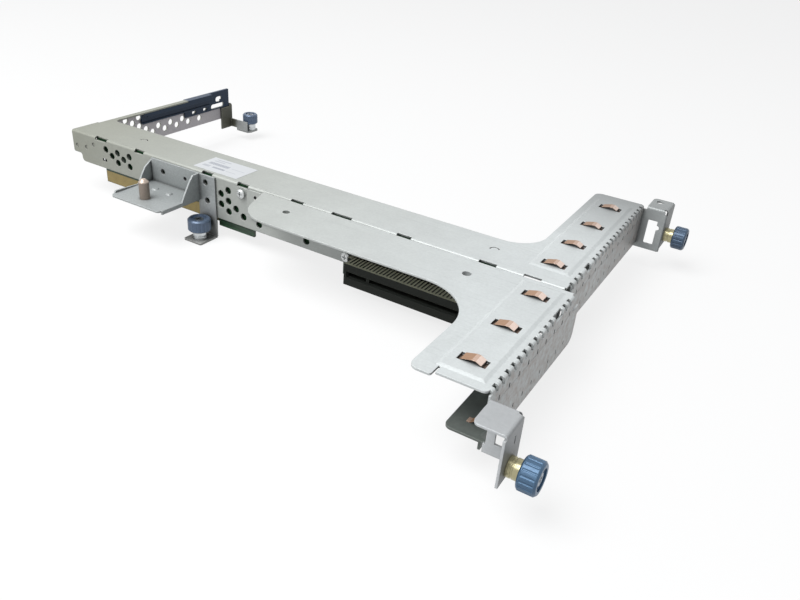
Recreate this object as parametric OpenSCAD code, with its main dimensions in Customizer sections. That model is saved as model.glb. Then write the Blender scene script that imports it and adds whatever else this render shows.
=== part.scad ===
// Riser cage bracket: a folded sheet-steel frame with two card bays, a riser board and captive thumbscrews.
// Cage axes: x runs from the front arm (negative) to the rear slots (zero), y from the near bay (negative)
// to the far bay, z up from the top face of the sheets. Every node is then moved so that the part's origin
// is on the guide pin's axis, at the top face of the shelf that it stands on.

/* [Sheet metal] */
// Thickness of the folded sheets
sheet = 1.0; // [0.8:0.1:1.2]
// Inner radius of the folds
fold_in = 0.4; // [0.2:0.1:0.6]
// Height of the raised fields on both T plates
field_rise = 0.6; // [0.3:0.1:0.9]

/* [Spine and arm] */
// Length from the front arm to the rear slot face
cage_len = 330; // [320:1:340]
// Width of the spine
spine_w = 29; // [27:0.5:32]
// Length of the front arm, from the near wall
arm_len = 140; // [136:1:146]
// Width of the arm's top strip
arm_w = 5; // [5:0.5:8]
// Drop of the arm's web below the top
arm_drop = 21.5; // [20:0.5:24]
// Drop of the near wall over the board's edge contacts
wall_drop = 18.7; // [17:0.1:19]
// Drop of the near wall behind the wing
wall_drop_rear = 25.4; // [24:0.1:27]

/* [Near and far T plates] */
// Depth of both T plates, front to rear
t_depth = 31.2; // [29:0.1:34]
// Reach of the near T
near_reach = 91; // [88:1:94]
// Reach of the far T
far_reach = 126; // [122:1:130]
// Setback of the far rear face from the near one
far_setback = 4.5; // [3.5:0.5:5]
// Drop of the near slot cover
near_drop = 27.4; // [26:0.1:29]
// Drop of the far slot cover
far_drop = 23.2; // [22:0.1:25]
// Drop of both rear flanges
flange_drop = 8; // [7:0.1:9]
// Pitch of the notches in the near rear fold
notch_pitch = 5.5; // [5:0.1:6]

/* [Tongue] */
// Width of the tongue, from the seam
tongue_w = 31; // [29:0.5:33]
// Distance of the tongue's tip from the rear face
tongue_len = 175.5; // [170:0.5:180]
// Radius of the tongue's rounded corner
tongue_r = 20; // [15:1:24]

/* [Side shelf and pin] */
// Height of the shelf's top face below the top
shelf_drop = 15; // [14:0.5:16]
// Width of the shelf bracket along the spine
shelf_w = 38; // [36:0.5:40]
// Reach of the shelf
shelf_reach = 32; // [31:0.5:35]
// Diameter of the guide pin
pin_d = 5.8; // [5:0.2:7]
// Height of the guide pin above the shelf
pin_h = 11.4; // [10:0.2:13]
// Height of the middle foot's top face below the top
foot_drop = 37; // [36:0.5:38]

/* [Thumbscrews] */
// Diameter of the knobs
knob_d = 13; // [12:0.5:14]
// Diameter of the knob at the arm's end
arm_knob_d = 11.2; // [11:0.1:12]
// Height of the knobs
knob_h = 7.2; // [7:0.1:8]
// Gap between the plate and a released knob
knob_gap = 5; // [4.5:0.1:5.5]
// Outer diameter of the ferrules
ferrule_d = 8; // [7.5:0.1:8.2]
// Diameter of the screws' threads
thread_d = 3.5; // [3:0.1:3.6]
// Lobes around a knob
knob_lobes = 18; // [12:2:24]

/* [Riser board] */
// Thickness of the board
board_t = 1.6; // [1.4:0.1:1.8]
// Gap between the near wall and the board
board_gap = 1; // [0.8:0.1:1.2]
// Length of the card connectors
connector_len = 89; // [85:1:92]
// Height of the card connectors' sides
connector_w = 12; // [9:0.5:12]

/* [Hidden] */
$fn = 48;

fold = fold_in + sheet;
front = -cage_len;
// Outer faces of the near and far rear folds; x is 0 where the notches start
near_face = 1.7;
far_face = near_face - far_setback;
t_front = -t_depth;
eps = 0.01;

// Places of the four thumbscrews: foot of the ferrule on its plate
near_plate_x = 16;
far_plate_x = 10.8;
near_screw_at = [near_plate_x, -102, -17.2];
far_screw_at = [far_plate_x, 134, -17];
middle_screw_at = [-217.5, -8, -foot_drop];
arm_foot_drop = 31;
arm_screw_at = [-316, 150.3, -arm_foot_drop];

// Guide pin
pin_x = -243;
pin_y = -23;

// Springs through the T plates
near_spring_y = [-76.6, -46.5, -15.7];
far_spring_y = [19, 46, 75, 106];
slot_w = 5.2;
front_slot = [-6.2, -4.2];
rear_slot = [3.8, 5.8];
near_slot_x = -12.2;
far_slot_x = -16.9;

// ---------- helpers ----------

// A flat sheet with its top face at height z, from an outline in x and y
module sheet_z(z) {
    translate([0, 0, z - sheet]) linear_extrude(sheet) children();
}

// An upright sheet that faces -y, from an outline in x and z, its near face at y
module sheet_y(y) {
    translate([0, y + sheet, 0]) rotate([90, 0, 0]) linear_extrude(sheet) children();
}

// An upright sheet that faces x, from an outline in y and z, its faces at x and x + sheet
module sheet_x(x) {
    translate([x, 0, 0]) rotate([90, 0, 90]) linear_extrude(sheet) children();
}

// Rectangle between two corners
module rect(low, high) {
    translate(low) square(high - low);
}

// Box between two corners
module box(low, high) {
    translate(low) cube(high - low);
}

// Rectangle with all four corners rounded
module round_rect(low, high, r) {
    rect(low + [r, 0], high - [r, 0]);
    rect(low + [0, r], high - [0, r]);
    for (x = [low[0] + r, high[0] - r], y = [low[1] + r, high[1] - r]) {
        translate([x, y]) circle(r);
    }
}

// Waste outside a rounded corner: corner point, then the way into the material along each axis
module corner_waste(at, r, way) {
    translate(at) scale([way[0], way[1]]) difference() {
        translate([-eps, -eps]) square(r + eps);
        translate([r, r]) circle(r);
    }
}

// Fillet that fills an inner corner: corner point, then the way into the open space
module corner_fill(at, r, way) {
    translate(at) scale([way[0], way[1]]) difference() {
        translate([-eps, -eps]) square(r + eps);
        translate([r, r]) circle(r);
    }
}

// Quarter ring that joins a top sheet to a down flange, in the fold's own plane
module fold_section() {
    translate([fold, -fold]) intersection() {
        difference() {
            circle(fold);
            circle(fold_in);
        }
        translate([-fold, 0]) square(fold);
    }
}

// Fold along x: the corner is at y, the top sheet goes the given way
module fold_along_x(x0, x1, y, way) {
    translate([x0, y, 0]) rotate([90, 0, 90]) linear_extrude(x1 - x0) scale([way, 1]) fold_section();
}

// Fold along y: the corner is at x, the top sheet goes the given way
module fold_along_y(y0, y1, x, way) {
    translate([x, y1, 0]) rotate([90, 0, 0]) linear_extrude(y1 - y0) scale([way, 1]) fold_section();
}

// Raised field with sloping sides, standing on z = 0
module raised_field(low, high, bevel) {
    size = high - low;
    intersection() {
        translate([low[0], high[1] + 1, 0]) rotate([90, 0, 0]) linear_extrude(size[1] + 2)
            polygon([[0, 0], [size[0], 0], [size[0] - bevel, field_rise], [bevel, field_rise]]);
        translate([low[0] - 1, low[1], 0]) rotate([90, 0, 90]) linear_extrude(size[0] + 2)
            polygon([[0, 0], [size[1], 0], [size[1] - bevel, field_rise], [bevel, field_rise]]);
    }
}

// Half-round shear mark, cut deep into a top sheet
module shear_mark(at, turn) {
    translate([at[0], at[1], -0.8]) rotate([0, 0, turn]) intersection() {
        difference() {
            cylinder(d = 5, h = 4);
            translate([0, 0, -1]) cylinder(d = 3.8, h = 6);
        }
        translate([-4, 0, -1]) cube([8, 4, 6]);
    }
}

// Slots and notches share one cutter that goes through the fold
module notch(y, x, width) {
    box([x - 1.9, y - width / 2, -2.8], [x + 1, y + width / 2, 2]);
}

// ---------- main frame ----------

relief_slots = [[-309, -299], [-275, -267.6], [-221.4, -213.7], [-195.3, -187.5], [-158.3, -150.3],
    [-132, -119.7], [-92.7, -84.5], [-47.5, -38.5], [-24.7, -16.1]];
far_notches = [for (i = [0:2]) 6.7 + 6 * i];
far_notches_out = [for (i = [0:15]) 38.8 + notch_pitch * i];
arm_strip_end = 95;
web_start = 20;

module main_top() {
    difference() {
        union() {
            rect([front, fold], [front + fold, web_start]);
            rect([front + fold, fold], [far_face - fold, spine_w]);
            rect([t_front, fold], [far_face - fold, far_reach]);
            rect([front + fold, spine_w - 1], [front + arm_w, arm_strip_end]);
            corner_fill([t_front, spine_w], 17, [-1, 1]);
            corner_fill([front + arm_w, spine_w], 4, [1, 1]);
        }
        corner_waste([t_front, far_reach], 4, [1, -1]);
    }
}

module near_wall_outline() {
    front_drop = 13.8;
    step_x = front + 7;
    deep_x = -211;
    difference() {
        union() {
            rect([front, -front_drop], [step_x, -fold]);
            rect([step_x, -wall_drop], [far_face - 2, -fold]);
            rect([deep_x, -wall_drop_rear], [far_face - 2, -wall_drop]);
            corner_fill([step_x, -front_drop], 1.5, [-1, -1]);
        }
        corner_waste([step_x, -wall_drop], 2.5, [1, 1]);
        corner_waste([front, -front_drop], 1, [1, 1]);
        rect([-119, -wall_drop_rear - 1], [-22, -wall_drop - 0.3]);
        near_wall_holes();
    }
}

// Vent holes of the near wall: a front group, a middle group and the board screws' holes
module near_wall_holes() {
    for (i = [0:4]) {
        for (z = (i % 2 == 0) ? [-6.2, -12.4] : [-9.2]) {
            if (i + z > -12) translate([-300.3 + 5.05 * i, z]) circle(d = 4.2);
        }
    }
    round_rect([-304, -14.3], [-300.3, -12.4], 0.9);
    for (hole = [[0, -9.8], [0, -16.1], [1, -6.6], [1, -12.9], [1, -19.3], [2, -16.2], [3, -19.5]]) {
        translate([-207.4 + 5.4 * hole[0], hole[1]]) circle(d = 4.2);
    }
    for (hole = [[-180.1, -20.8], [-147.5, -20.8]]) {
        translate(hole) circle(d = 4.2);
    }
    for (at = board_screw_at) {
        translate(at) circle(d = board_hole_d);
    }
    for (at = wing_rivet_at) {
        translate(at) circle(d = rivet_d);
    }
    side_holes();
    wing_hole();
}

// Dents in the near wall, seen as shallow dimples
module near_wall_dents() {
    for (at = [[-326.3, -9.3], [-318, -8.8], [-311.1, -5.7]]) {
        translate([at[0], -0.1, at[1]]) rotate([-90, 0, 0]) cylinder(d = 2.6, h = 0.5);
    }
}

// Perforated web of the arm: hole columns and rows counted from the spine and the top
module arm_web_outline() {
    column = 5.65;
    row = 3.15;
    difference() {
        union() {
            rect([web_start, -arm_drop], [arm_len, -fold]);
            rect([arm_strip_end, -fold], [arm_len, -sheet]);
        }
        corner_waste([web_start, -arm_drop], 5, [1, 1]);
        for (hole = [[0, 1], [1, 2], [2, 1], [2, 3], [3, 4], [4, 5], [5, 4], [6, 5], [7, 4], [8, 5], [9, 4],
                [10, 5], [11, 3], [12, 5], [13, 3]]) {
            translate([41 + column * hole[0], -row * hole[1] - 0.4]) circle(d = 4.2);
        }
        arm_openings();
    }
}

// Hook opening and slot near the end of the arm
module arm_openings() {
    round_rect([120.8, -12.2], [134.9, -8.8], 1.6);
    round_rect([125.9, -7.8], [133, -3.8], 1.9);
}

module main_frame() {
    color("lightsteelblue") difference() {
        union() {
            sheet_z(0) main_top();
            sheet_y(0) near_wall_outline();
            sheet_x(front) arm_web_outline();
            rear_flange(far_face, 5.3, far_reach - 0.5);
            fold_along_x(front, far_face - 2, 0, 1);
            fold_along_y(web_start, arm_strip_end, front, 1);
            fold_along_y(5.3, far_reach - 0.5, far_face, -1);
            raised_field([t_front + 3.6, 12.4], [far_face - 4.2, 116], 1.6);
        }
        translate([0, 0, -sheet]) raised_field([t_front + 3.6, 12.4], [far_face - 4.2, 116], 1.6);
        for (slot = relief_slots) {
            box([slot[0], -0.5, -1.9], [slot[1], 2.1, 1]);
        }
        for (y = concat(far_notches, far_notches_out)) {
            notch(y, far_face, 2.4);
        }
        notch(29, far_face, 6.5);
        for (y = far_spring_y) {
            spring_slots(far_slot_x, y);
        }
        shear_mark([-283, 15], 20);
        shear_mark([-46.7, 16.4], 20);
        near_wall_dents();
    }
}

// Short rear flange with a comb of small slots in its lower edge
module rear_flange(x, y0, y1) {
    sheet_x(x - sheet) difference() {
        rect([y0, -flange_drop], [y1, -fold]);
        for (y = [y0 + 8.5:9.3:y1 - 4]) {
            rect([y - 0.5, -flange_drop - 1], [y + 0.5, -flange_drop + 2.2]);
        }
    }
}

// Two small slots that the ends of a contact spring pass through
module spring_slots(x, y) {
    for (slot = [front_slot, rear_slot]) {
        box([x + slot[0], y - slot_w / 2, -3], [x + slot[1], y + slot_w / 2, 3]);
    }
}

// ---------- near wing ----------

wing_flange_drop = 18.3;
wing_flange_x = -187.5;
wing_gap = 4.5;

module wing_top() {
    tip = [-tongue_len + 24.1, -tongue_w + tongue_r];
    lean = 17.2;
    difference() {
        union() {
            rect([tip[0], -tongue_w], [-fold, -fold]);
            translate(tip) circle(tongue_r);
            polygon([[-tongue_len, -fold], tip + tongue_r * [-cos(lean), -sin(lean)], tip, [tip[0], -fold]]);
            rect([t_front, -near_reach], [near_face - fold, -fold]);
            rect([t_front, -near_reach - 2.2], [-21.5, -near_reach + eps]);
            corner_fill([t_front, -tongue_w], 27, [-1, -1]);
        }
        rect([-cage_len, -fold], [0, tongue_r]);
        corner_waste([t_front, -near_reach - 2.2], 4, [1, 1]);
        corner_waste([-21.5, -near_reach - 2.2], 1, [-1, 1]);
        corner_waste([near_face - fold, -near_reach], 2, [-1, 1]);
        // Step between the flat strip and the raised field
        rect([-21.5, -near_reach - 3], [-20.6, -near_reach + 4]);
    }
}

module wing_flange_outline() {
    difference() {
        rect([wing_flange_x, -wing_flange_drop], [-wing_gap - sheet, -fold]);
        corner_waste([wing_flange_x, -wing_flange_drop], 3.6, [1, 1]);
        corner_waste([wing_flange_x, -fold], 2, [1, -1]);
        for (at = wing_rivet_at) {
            translate(at) circle(d = rivet_d);
        }
        wing_hole();
    }
}

module near_wing() {
    color("gainsboro") difference() {
        union() {
            sheet_z(0) wing_top();
            sheet_y(-sheet) wing_flange_outline();
            fold_along_x(-tongue_len, -wing_gap - sheet, 0, -1);
            rear_flange(near_face, -near_reach + 0.5, -wing_gap + 1);
            fold_along_y(-near_reach + 2, -wing_gap + 1, near_face, -1);
            raised_field([-23.2, -86.8], [-2.6, -3.8], 1.6);
            // Drawn collars below both holes
            translate([-46, -15, -3.2]) cylinder(d = 5.8, h = 2.4);
            translate([-150, -13.8, -3.2]) cylinder(d = 5.4, h = 2.4);
        }
        translate([0, 0, -sheet]) raised_field([-23.2, -86.8], [-2.6, -3.8], 1.6);
        for (i = [0:10]) {
            notch(-85.4 + notch_pitch * i, near_face, 2.4);
        }
        notch(-22.2, near_face, 8.8);
        for (y = [-14.3, -9]) {
            notch(y, near_face, 2.4);
        }
        for (y = near_spring_y) {
            spring_slots(near_slot_x, y);
        }
        translate([-150, -13.8, -4]) cylinder(d = 4, h = 6);
        translate([-46, -15, -4]) cylinder(d = 4.4, h = 6);
    }
}

// ---------- slot covers and shelves ----------

// Blank plate below a rear flange, with a row of small slots
module slot_cover(x, y0, y1, drop) {
    top = -flange_drop - 0.15;
    difference() {
        union() {
            sheet_x(x - sheet) rect([y0, -drop], [y1, top]);
            // Joggled strip behind the rear flange
            sheet_x(x - 2 * sheet) rect([y0 + 6, top - 1.5], [y1 - 12, top + 3]);
        }
        for (y = [y0 + 10:9.3:y1 - 6]) {
            box([x - 2, y - 0.4, -drop + 4.8], [x + 1, y + 0.4, -drop + 6.8]);
        }
    }
}

module near_slot_cover() {
    color("silver") difference() {
        slot_cover(near_face, -83.5, 5, near_drop);
        // Rounded lower corner beside the far cover
        translate([near_face - 3, 0, 0]) rotate([90, 0, 90]) linear_extrude(4)
            corner_waste([5, -near_drop], 5, [-1, 1]);
    }
}

module far_slot_cover() {
    color("silver") slot_cover(far_face, 5.3, far_reach - 0.5, far_drop);
}

// Inner shelf along a slot: a flange that turns down behind the slot cover, and a flat plate
module slot_shelf(x, y0, y1, drop, flange_low) {
    depth = 13;
    translate([0, 0, -drop]) {
        sheet_z(0) difference() {
            rect([x - sheet - depth, y0], [x - sheet - fold, y1]);
            corner_waste([x - sheet - depth, y0], 3, [1, 1]);
        }
        fold_along_y(y0, y1, x - sheet, -1);
        sheet_x(x - 2 * sheet) rect([y0, -flange_low], [y1, -fold]);
    }
}

near_shelf_drop = 20;
far_shelf_drop = 15;

module near_slot_shelf() {
    near_end = -93;
    color("dimgray") union() {
        translate([0, 0, -near_shelf_drop]) {
            sheet_z(0) difference() {
                union() {
                    rect([-14.2, near_end], [near_face - sheet - fold, -12]);
                    rect([-14.2, near_end], [9, -near_reach]);
                }
                corner_waste([-14.2, near_end], 3, [1, 1]);
            }
            fold_along_y(-near_reach, -12, near_face - sheet, -1);
            sheet_x(near_face - 2 * sheet) rect([-near_reach, -6], [-12, -fold]);
        }
    }
}

module far_slot_shelf() {
    color("dimgray") slot_shelf(far_face, 8, far_reach - 8, far_shelf_drop, 7);
}

// ---------- end brackets ----------

// Bracket outside an end of the T: side plate with a window, rear plate with the thumbscrew, and top tab.
// Local x starts at the slot face, local y at the side plate's outer face and runs outward.
module end_bracket(length, tab_reach, drop, window, tab_low, shoulder, inner, foot) {
    relief = 2.2;
    tab_front = tab_reach - 1.5;
    difference() {
        union() {
            // Side plate
            sheet_y(-sheet) difference() {
                union() {
                    rect([inner, -drop], [length - fold + eps, -fold + eps]);
                    rect([foot[0], -drop], [inner + eps, foot[1]]);
                }
                round_rect(window[0], window[1], 0.5);
                rect([-sheet - 1, -shoulder], [tab_low, 0]);
            }
            // Fold and rear plate
            translate([length, -sheet, 0]) rotate([0, 0, 90]) linear_extrude_up(drop) fold_plan();
            sheet_x(length - sheet) rect([fold - sheet - eps, -drop + 2], [tab_reach, -fold + eps]);
            // Top tab and its folds
            sheet_z(0) difference() {
                rect([tab_low, fold - sheet], [length - fold, tab_front]);
                corner_waste([tab_low, tab_front], 2.5, [1, -1]);
            }
            fold_along_x(tab_low, length - fold, -sheet, 1);
            fold_along_y(fold - sheet, tab_front, length, -1);
        }
        // Relief where the three flanges meet
        translate([length - relief / 2, relief / 2 - sheet, -3]) cylinder(d = relief, h = 4);
    }
}

// Plan of an upright fold, and the wall that it makes below the top
module fold_plan() {
    intersection() {
        translate([fold, fold]) difference() {
            circle(fold);
            circle(fold_in);
        }
        square(fold);
    }
}

module linear_extrude_up(drop) {
    translate([0, 0, -drop]) linear_extrude(drop - fold) children();
}

module near_end_bracket() {
    color("silver") difference() {
        translate([0, -94, 0]) mirror([0, 1, 0])
            end_bracket(near_plate_x, 16.2, 23.6, [[6.9, -18.3], [12, -7.5]], 2.9, 3, 3.5, [2.5, -19.6]);
        at_screw(near_screw_at, true) plate_bore();
        box([near_plate_x - 2, -101, -8.5], [near_plate_x + 1, -100, -5]);
    }
}

module far_end_bracket() {
    color("silver") difference() {
        translate([far_face, far_reach + 0.5, 0])
            end_bracket(far_plate_x - far_face, 16.5, 25.5, [[4, -22], [9.4, -7.5]], 1.8, 2, -sheet,
                [-sheet, -22]);
        at_screw(far_screw_at, true) plate_bore();
        translate([3.5, 136.5, -2]) cylinder(d = tab_hole_d, h = 3);
        // Bite in the window's edge
        translate([far_face + 9.4, far_reach - 2, -11.5]) rotate([-90, 0, 0]) cylinder(r = 1.5, h = 4);
    }
}

tab_hole_d = 4;

// ---------- side shelf, pin and middle foot ----------

shelf_x0 = -261.5;
shelf_x1 = shelf_x0 + shelf_w;
leg_x1 = -211;
rivet_d = 2.4;
wing_rivet_at = [[-112, -9], [-60, -9]];

// Holes through the bracket and the wall behind it
module side_holes() {
    for (at = [[-251.2, -7.8, 3.4], [-233.7, -7.6, 2.4], [-218, -5.6, 3.6], [-217.1, -16.3, 3.6]]) {
        translate([at[0], at[1]]) circle(d = at[2]);
    }
}

// Small hole in the front end of the wing's flange
module wing_hole() {
    translate([-181.6, -5.1]) circle(d = 2);
}

module side_shelf_bracket() {
    lip = 17.2;
    color("silver") difference() {
        union() {
            // Plate on the near wall with the leg that reaches down to the middle foot
            sheet_y(-sheet) difference() {
                union() {
                    rect([shelf_x0 + fold, -shelf_drop], [shelf_x1, -1.2]);
                    rect([shelf_x1, -foot_drop + fold - sheet], [leg_x1, -1.2]);
                }
                side_holes();
            }
            // Shelf
            sheet_z(-shelf_drop) difference() {
                rect([shelf_x0 + 0.5, -shelf_reach], [shelf_x1, -sheet + eps]);
                corner_waste([shelf_x1, -shelf_reach], 2, [-1, 1]);
                corner_waste([shelf_x0 + 0.5, -shelf_reach], 3, [1, 1]);
            }
            // Left gusset with the shelf's upturned lip, and right gusset with the shelf's downturned edge
            sheet_x(shelf_x0) polygon([[-eps, -2.5], [-5.4, -5.8], [-7.7, -8.9], [-11.3, -shelf_drop + 0.4],
                [-shelf_reach + 4, -shelf_drop + 1.2], [-shelf_reach + 3, -shelf_drop - 0.5],
                [-shelf_reach + 4, -lip + 1], [-eps, -lip + 1]]);
            sheet_x(shelf_x1) polygon([[-eps, -1.2], [-5.5, -1.4], [-8.1, -4.1], [-12.8, -11.2],
                [-15, -shelf_drop], [-shelf_reach + 2, -shelf_drop], [-shelf_reach + 2, -lip], [-eps, -lip]]);
            // Foot
            sheet_z(-foot_drop) round_rect([leg_x1 - 13, -14.5], [leg_x1, -sheet - fold_in], 1.2);
            translate([0, -sheet, -foot_drop - sheet]) foot_fold(leg_x1 - 13, leg_x1);
            // Two formed dimples on the shelf
            for (at = [[-248.5, -10.1], [-237.2, -10.5]]) {
                translate([at[0], at[1], -shelf_drop - eps]) cylinder(d1 = 4.2, d2 = 3, h = 0.7);
            }
        }
        at_screw(middle_screw_at, false) plate_bore();
        translate([pin_x, pin_y, -shelf_drop - 2]) cylinder(d = pin_spigot_d, h = 3);
    }
}

// Fold at the bottom of the leg, from the leg into the foot that reaches to -y
module foot_fold(x0, x1) {
    mirror([0, 0, 1]) translate([0, sheet, 0]) fold_along_x(x0, x1, 0, -1);
}

pin_spigot_d = 4;

module guide_pin() {
    tip = 1.6;
    color("rosybrown") translate([pin_x, pin_y, -shelf_drop]) {
        cylinder(d = pin_d, h = pin_h - tip);
        translate([0, 0, pin_h - tip]) cylinder(d1 = pin_d, d2 = pin_d - 3.4, h = tip);
        translate([0, 0, -sheet - 0.8]) cylinder(d = pin_spigot_d, h = sheet + 0.8 + eps);
    }
}

// ---------- arm end ----------

module arm_end_bracket() {
    inner = front + sheet;
    bend_y = arm_len + 3.2;
    low = -arm_foot_drop + fold - sheet;
    strip = [-29.5, -23.4];
    right = -312.6;
    color("darkolivegreen") difference() {
        union() {
            // Tab on the inside of the web, with a rounded ear beyond the web's end
            sheet_x(inner) {
                rect([131.5, -29.5], [bend_y - fold, -13.2]);
                difference() {
                    rect([arm_len + 0.3, strip[1] - 1], [bend_y, -11]);
                    corner_waste([bend_y, -11], 2.5, [-1, -1]);
                    rect([bend_y - fold + eps, strip[1] - 2], [bend_y + 1, strip[1]]);
                }
            }
            // Upright strip that turns along x and widens into the leg
            translate([inner, bend_y, strip[0]]) linear_extrude(strip[1] - strip[0])
                rotate([0, 0, -90]) fold_plan();
            sheet_y(bend_y - sheet) {
                rect([inner + fold, strip[0]], [right, strip[1]]);
                difference() {
                    rect([-322.7, low], [right, strip[1]]);
                    corner_waste([right, strip[1]], 1.5, [-1, -1]);
                }
            }
            // Foot
            sheet_z(-arm_foot_drop) round_rect([-322.7, bend_y + fold_in], [-311.4, 155.2], 3);
            translate([0, bend_y, -arm_foot_drop - sheet]) mirror([0, 1, 0]) foot_fold(-322.7, right);
            sheet_z(-arm_foot_drop) rect([-322.7, bend_y + fold_in], [right, bend_y + 5]);
        }
        at_screw(arm_screw_at, false) plate_bore();
    }
}

// Guide for the far edge of a full-length card: lips and a groove on the inside of the web, and an end plate
module card_guide() {
    start = 54;
    skirt_start = 94;
    lips_end = 119;
    inner = front + sheet;
    color("midnightblue") difference() {
        union() {
            // Back wall, which goes on to the end of the web, and its deeper skirt
            box([inner, start, -8.6], [inner + 1, lips_end, -sheet]);
            box([inner, skirt_start, -12.9], [inner + 1, lips_end, -8]);
            box([inner, lips_end - eps, -12.9], [inner + 0.8, arm_len, -sheet]);
            // Upper and lower lips
            box([inner, start, -3.4], [inner + 4.2, lips_end, -sheet]);
            box([inner, start, -8.6], [inner + 1.8, lips_end, -7.6]);
            // Cap over the end of the arm
            box([front, arm_strip_end, -sheet], [inner + 4.2, lips_end, 0]);
            box([front, lips_end - eps, -sheet], [inner + 0.8, arm_len, 0]);
        }
        // Room for the inside of the frame's fold
        box([inner - 1, start - 1, -fold], [inner + fold_in, arm_strip_end, 0]);
        // Openings that match the web's, with a latch nose left in the upper one
        difference() {
            translate([inner - 1, 0, 0]) rotate([90, 0, 90]) linear_extrude(8) arm_openings();
            box([inner, 130.6, -7.8], [inner + 0.8, 133.2, -6.2]);
        }
        // Slits over two of the web's holes
        for (y = [103.2, 114.5]) {
            box([inner - 1, y - 2.1, -11.6], [inner + 2, y + 2.1, -9.6]);
        }
        // Ramp that leads a card into the groove
        box([inner + 1, start - 1, -4.6], [inner + 7, start + 3, -2.6]);
    }
}

// ---------- riser board and connectors ----------

board_y = sheet + board_gap;
board_back = board_y + board_t;
board_hole_d = 3.2;
board_screw_at = [[-121.4, -21.5], [-192, -5.5], [-15, -21.8]];
near_card_z = -25.7;
far_card_z = -20.7;
near_connector_x = -116;
far_connector_x = -117.5;
board_front = -304.5;
board_top = -1.2;
contact_low = -28.3;

module riser_board() {
    color("darkgreen") difference() {
        translate([0, board_back, 0]) rotate([90, 0, 0]) linear_extrude(board_t) difference() {
            union() {
                rect([-310, -12], [-30, board_top]);
                rect([board_front, -24], [-30, -11]);
                rect([-40, -24], [-10, -3]);
                rect([board_front, contact_low], [-211.5, -20]);
                rect([-211.5, -31], [-185.6, -20]);
                rect([-124.5, -33.5], [-20, -20]);
            }
            // Key notch between the two contact groups
            rect([-262, contact_low - 1], [-260, contact_low + 7.5]);
            for (at = board_screw_at) {
                translate(at) circle(d = board_hole_d);
            }
        }
    }
}

// Contact strips on both faces of the board's edge, either side of the key notch
module edge_contacts() {
    skin = 0.05;
    spans = [[board_front + 0.2, -262.8], [-259.2, -212]];
    color("goldenrod") for (y = [board_y - skin, board_back], span = spans) {
        box([span[0], y, contact_low + 0.2], [span[1], y + skin, contact_low + 7.3]);
    }
}

// Card connector: a housing on the board with a card slot, a key and ribbed sides.
// Local y runs out from the board, local z is the card's plane.
module connector(reach) {
    rib_pitch = 2;
    ribs = floor((connector_len - 3) / rib_pitch);
    half = connector_w / 2;
    difference() {
        union() {
            box([0, 0, -half + 0.6], [connector_len, reach, half - 0.6]);
            box([0, 0, -half], [connector_len, 2.4, half]);
            box([0, reach - 1.6, -half], [connector_len, reach, half]);
            for (i = [0:ribs]) {
                box([1 + rib_pitch * i, 2.2, -half], [2 + rib_pitch * i, reach - 1.4, half]);
            }
        }
        // Card slot, broken by its key
        difference() {
            box([2, reach - 8, -0.9], [connector_len - 2, reach + 1, 0.9]);
            box([13, reach - 9, -1], [14.8, reach - 0.8, 1]);
        }
        // Chamfered mouth
        translate([1.6, reach, 0]) rotate([90, 0, 90]) linear_extrude(connector_len - 3.2)
            polygon([[0.1, -2], [0.1, 2], [-1.2, 0.9], [-1.2, -0.9]]);
    }
}

module near_slot_connector() {
    color("dimgray") translate([near_connector_x, board_y, near_card_z]) mirror([0, 1, 0]) {
        connector(board_y + 10);
        // Latch post beside the front end
        box([-2.6, 0, connector_w / 2 - 3.4], [0, 5, connector_w / 2 - 0.4]);
    }
}

module far_slot_connector() {
    color("dimgray") translate([far_connector_x, board_back, far_card_z]) connector(13.6);
}

// Pan-head screws that hold the board to the near wall
module board_screws() {
    color("silver") for (at = board_screw_at) {
        translate([at[0], 0, at[1]]) rotate([-90, 0, 0]) {
            difference() {
                union() {
                    translate([0, 0, -1.3]) cylinder(d = 5.2, h = 1.3);
                    translate([0, 0, -1.9]) cylinder(d1 = 3.6, d2 = 5.2, h = 0.6 + eps);
                }
                for (turn = [0, 90]) {
                    rotate([0, 0, turn]) translate([-1.4, -0.3, -2.5]) cube([2.8, 0.6, 1.6]);
                }
            }
            cylinder(d = 3, h = board_back + 2.4);
        }
    }
}

module board_spacers() {
    color("goldenrod") for (at = board_screw_at) {
        translate([at[0], sheet, at[1]]) rotate([-90, 0, 0]) difference() {
            cylinder(d = 5, h = board_gap);
            translate([0, 0, -1]) cylinder(d = board_hole_d, h = board_gap + 2);
        }
    }
}

module board_nuts() {
    color("silver") for (at = board_screw_at) {
        translate([at[0], board_back, at[1]]) rotate([-90, 0, 0]) difference() {
            cylinder(d = 5.6, h = 2, $fn = 6);
            translate([0, 0, -1]) cylinder(d = 3, h = 4);
        }
    }
}

module rivets() {
    color("silver") {
        for (at = wing_rivet_at) {
            translate([at[0], -sheet, at[1]]) rotate([-90, 0, 0]) {
                translate([0, 0, -0.5]) cylinder(d = 3.6, h = 0.5);
                cylinder(d = rivet_d, h = 2 * sheet);
            }
        }
    }
}

module label() {
    color("white") box([-231, 3.5, 0], [-199, 22, 0.1]);
}

// ---------- contact springs ----------

strip_t = 0.25;
strip_w = 5;

// Strip along x, from its outline in x and z, centred on y
module strip_along_x(x, y, z, width) {
    translate([x, y + width / 2, z]) rotate([90, 0, 0]) linear_extrude(width) children();
}

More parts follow.
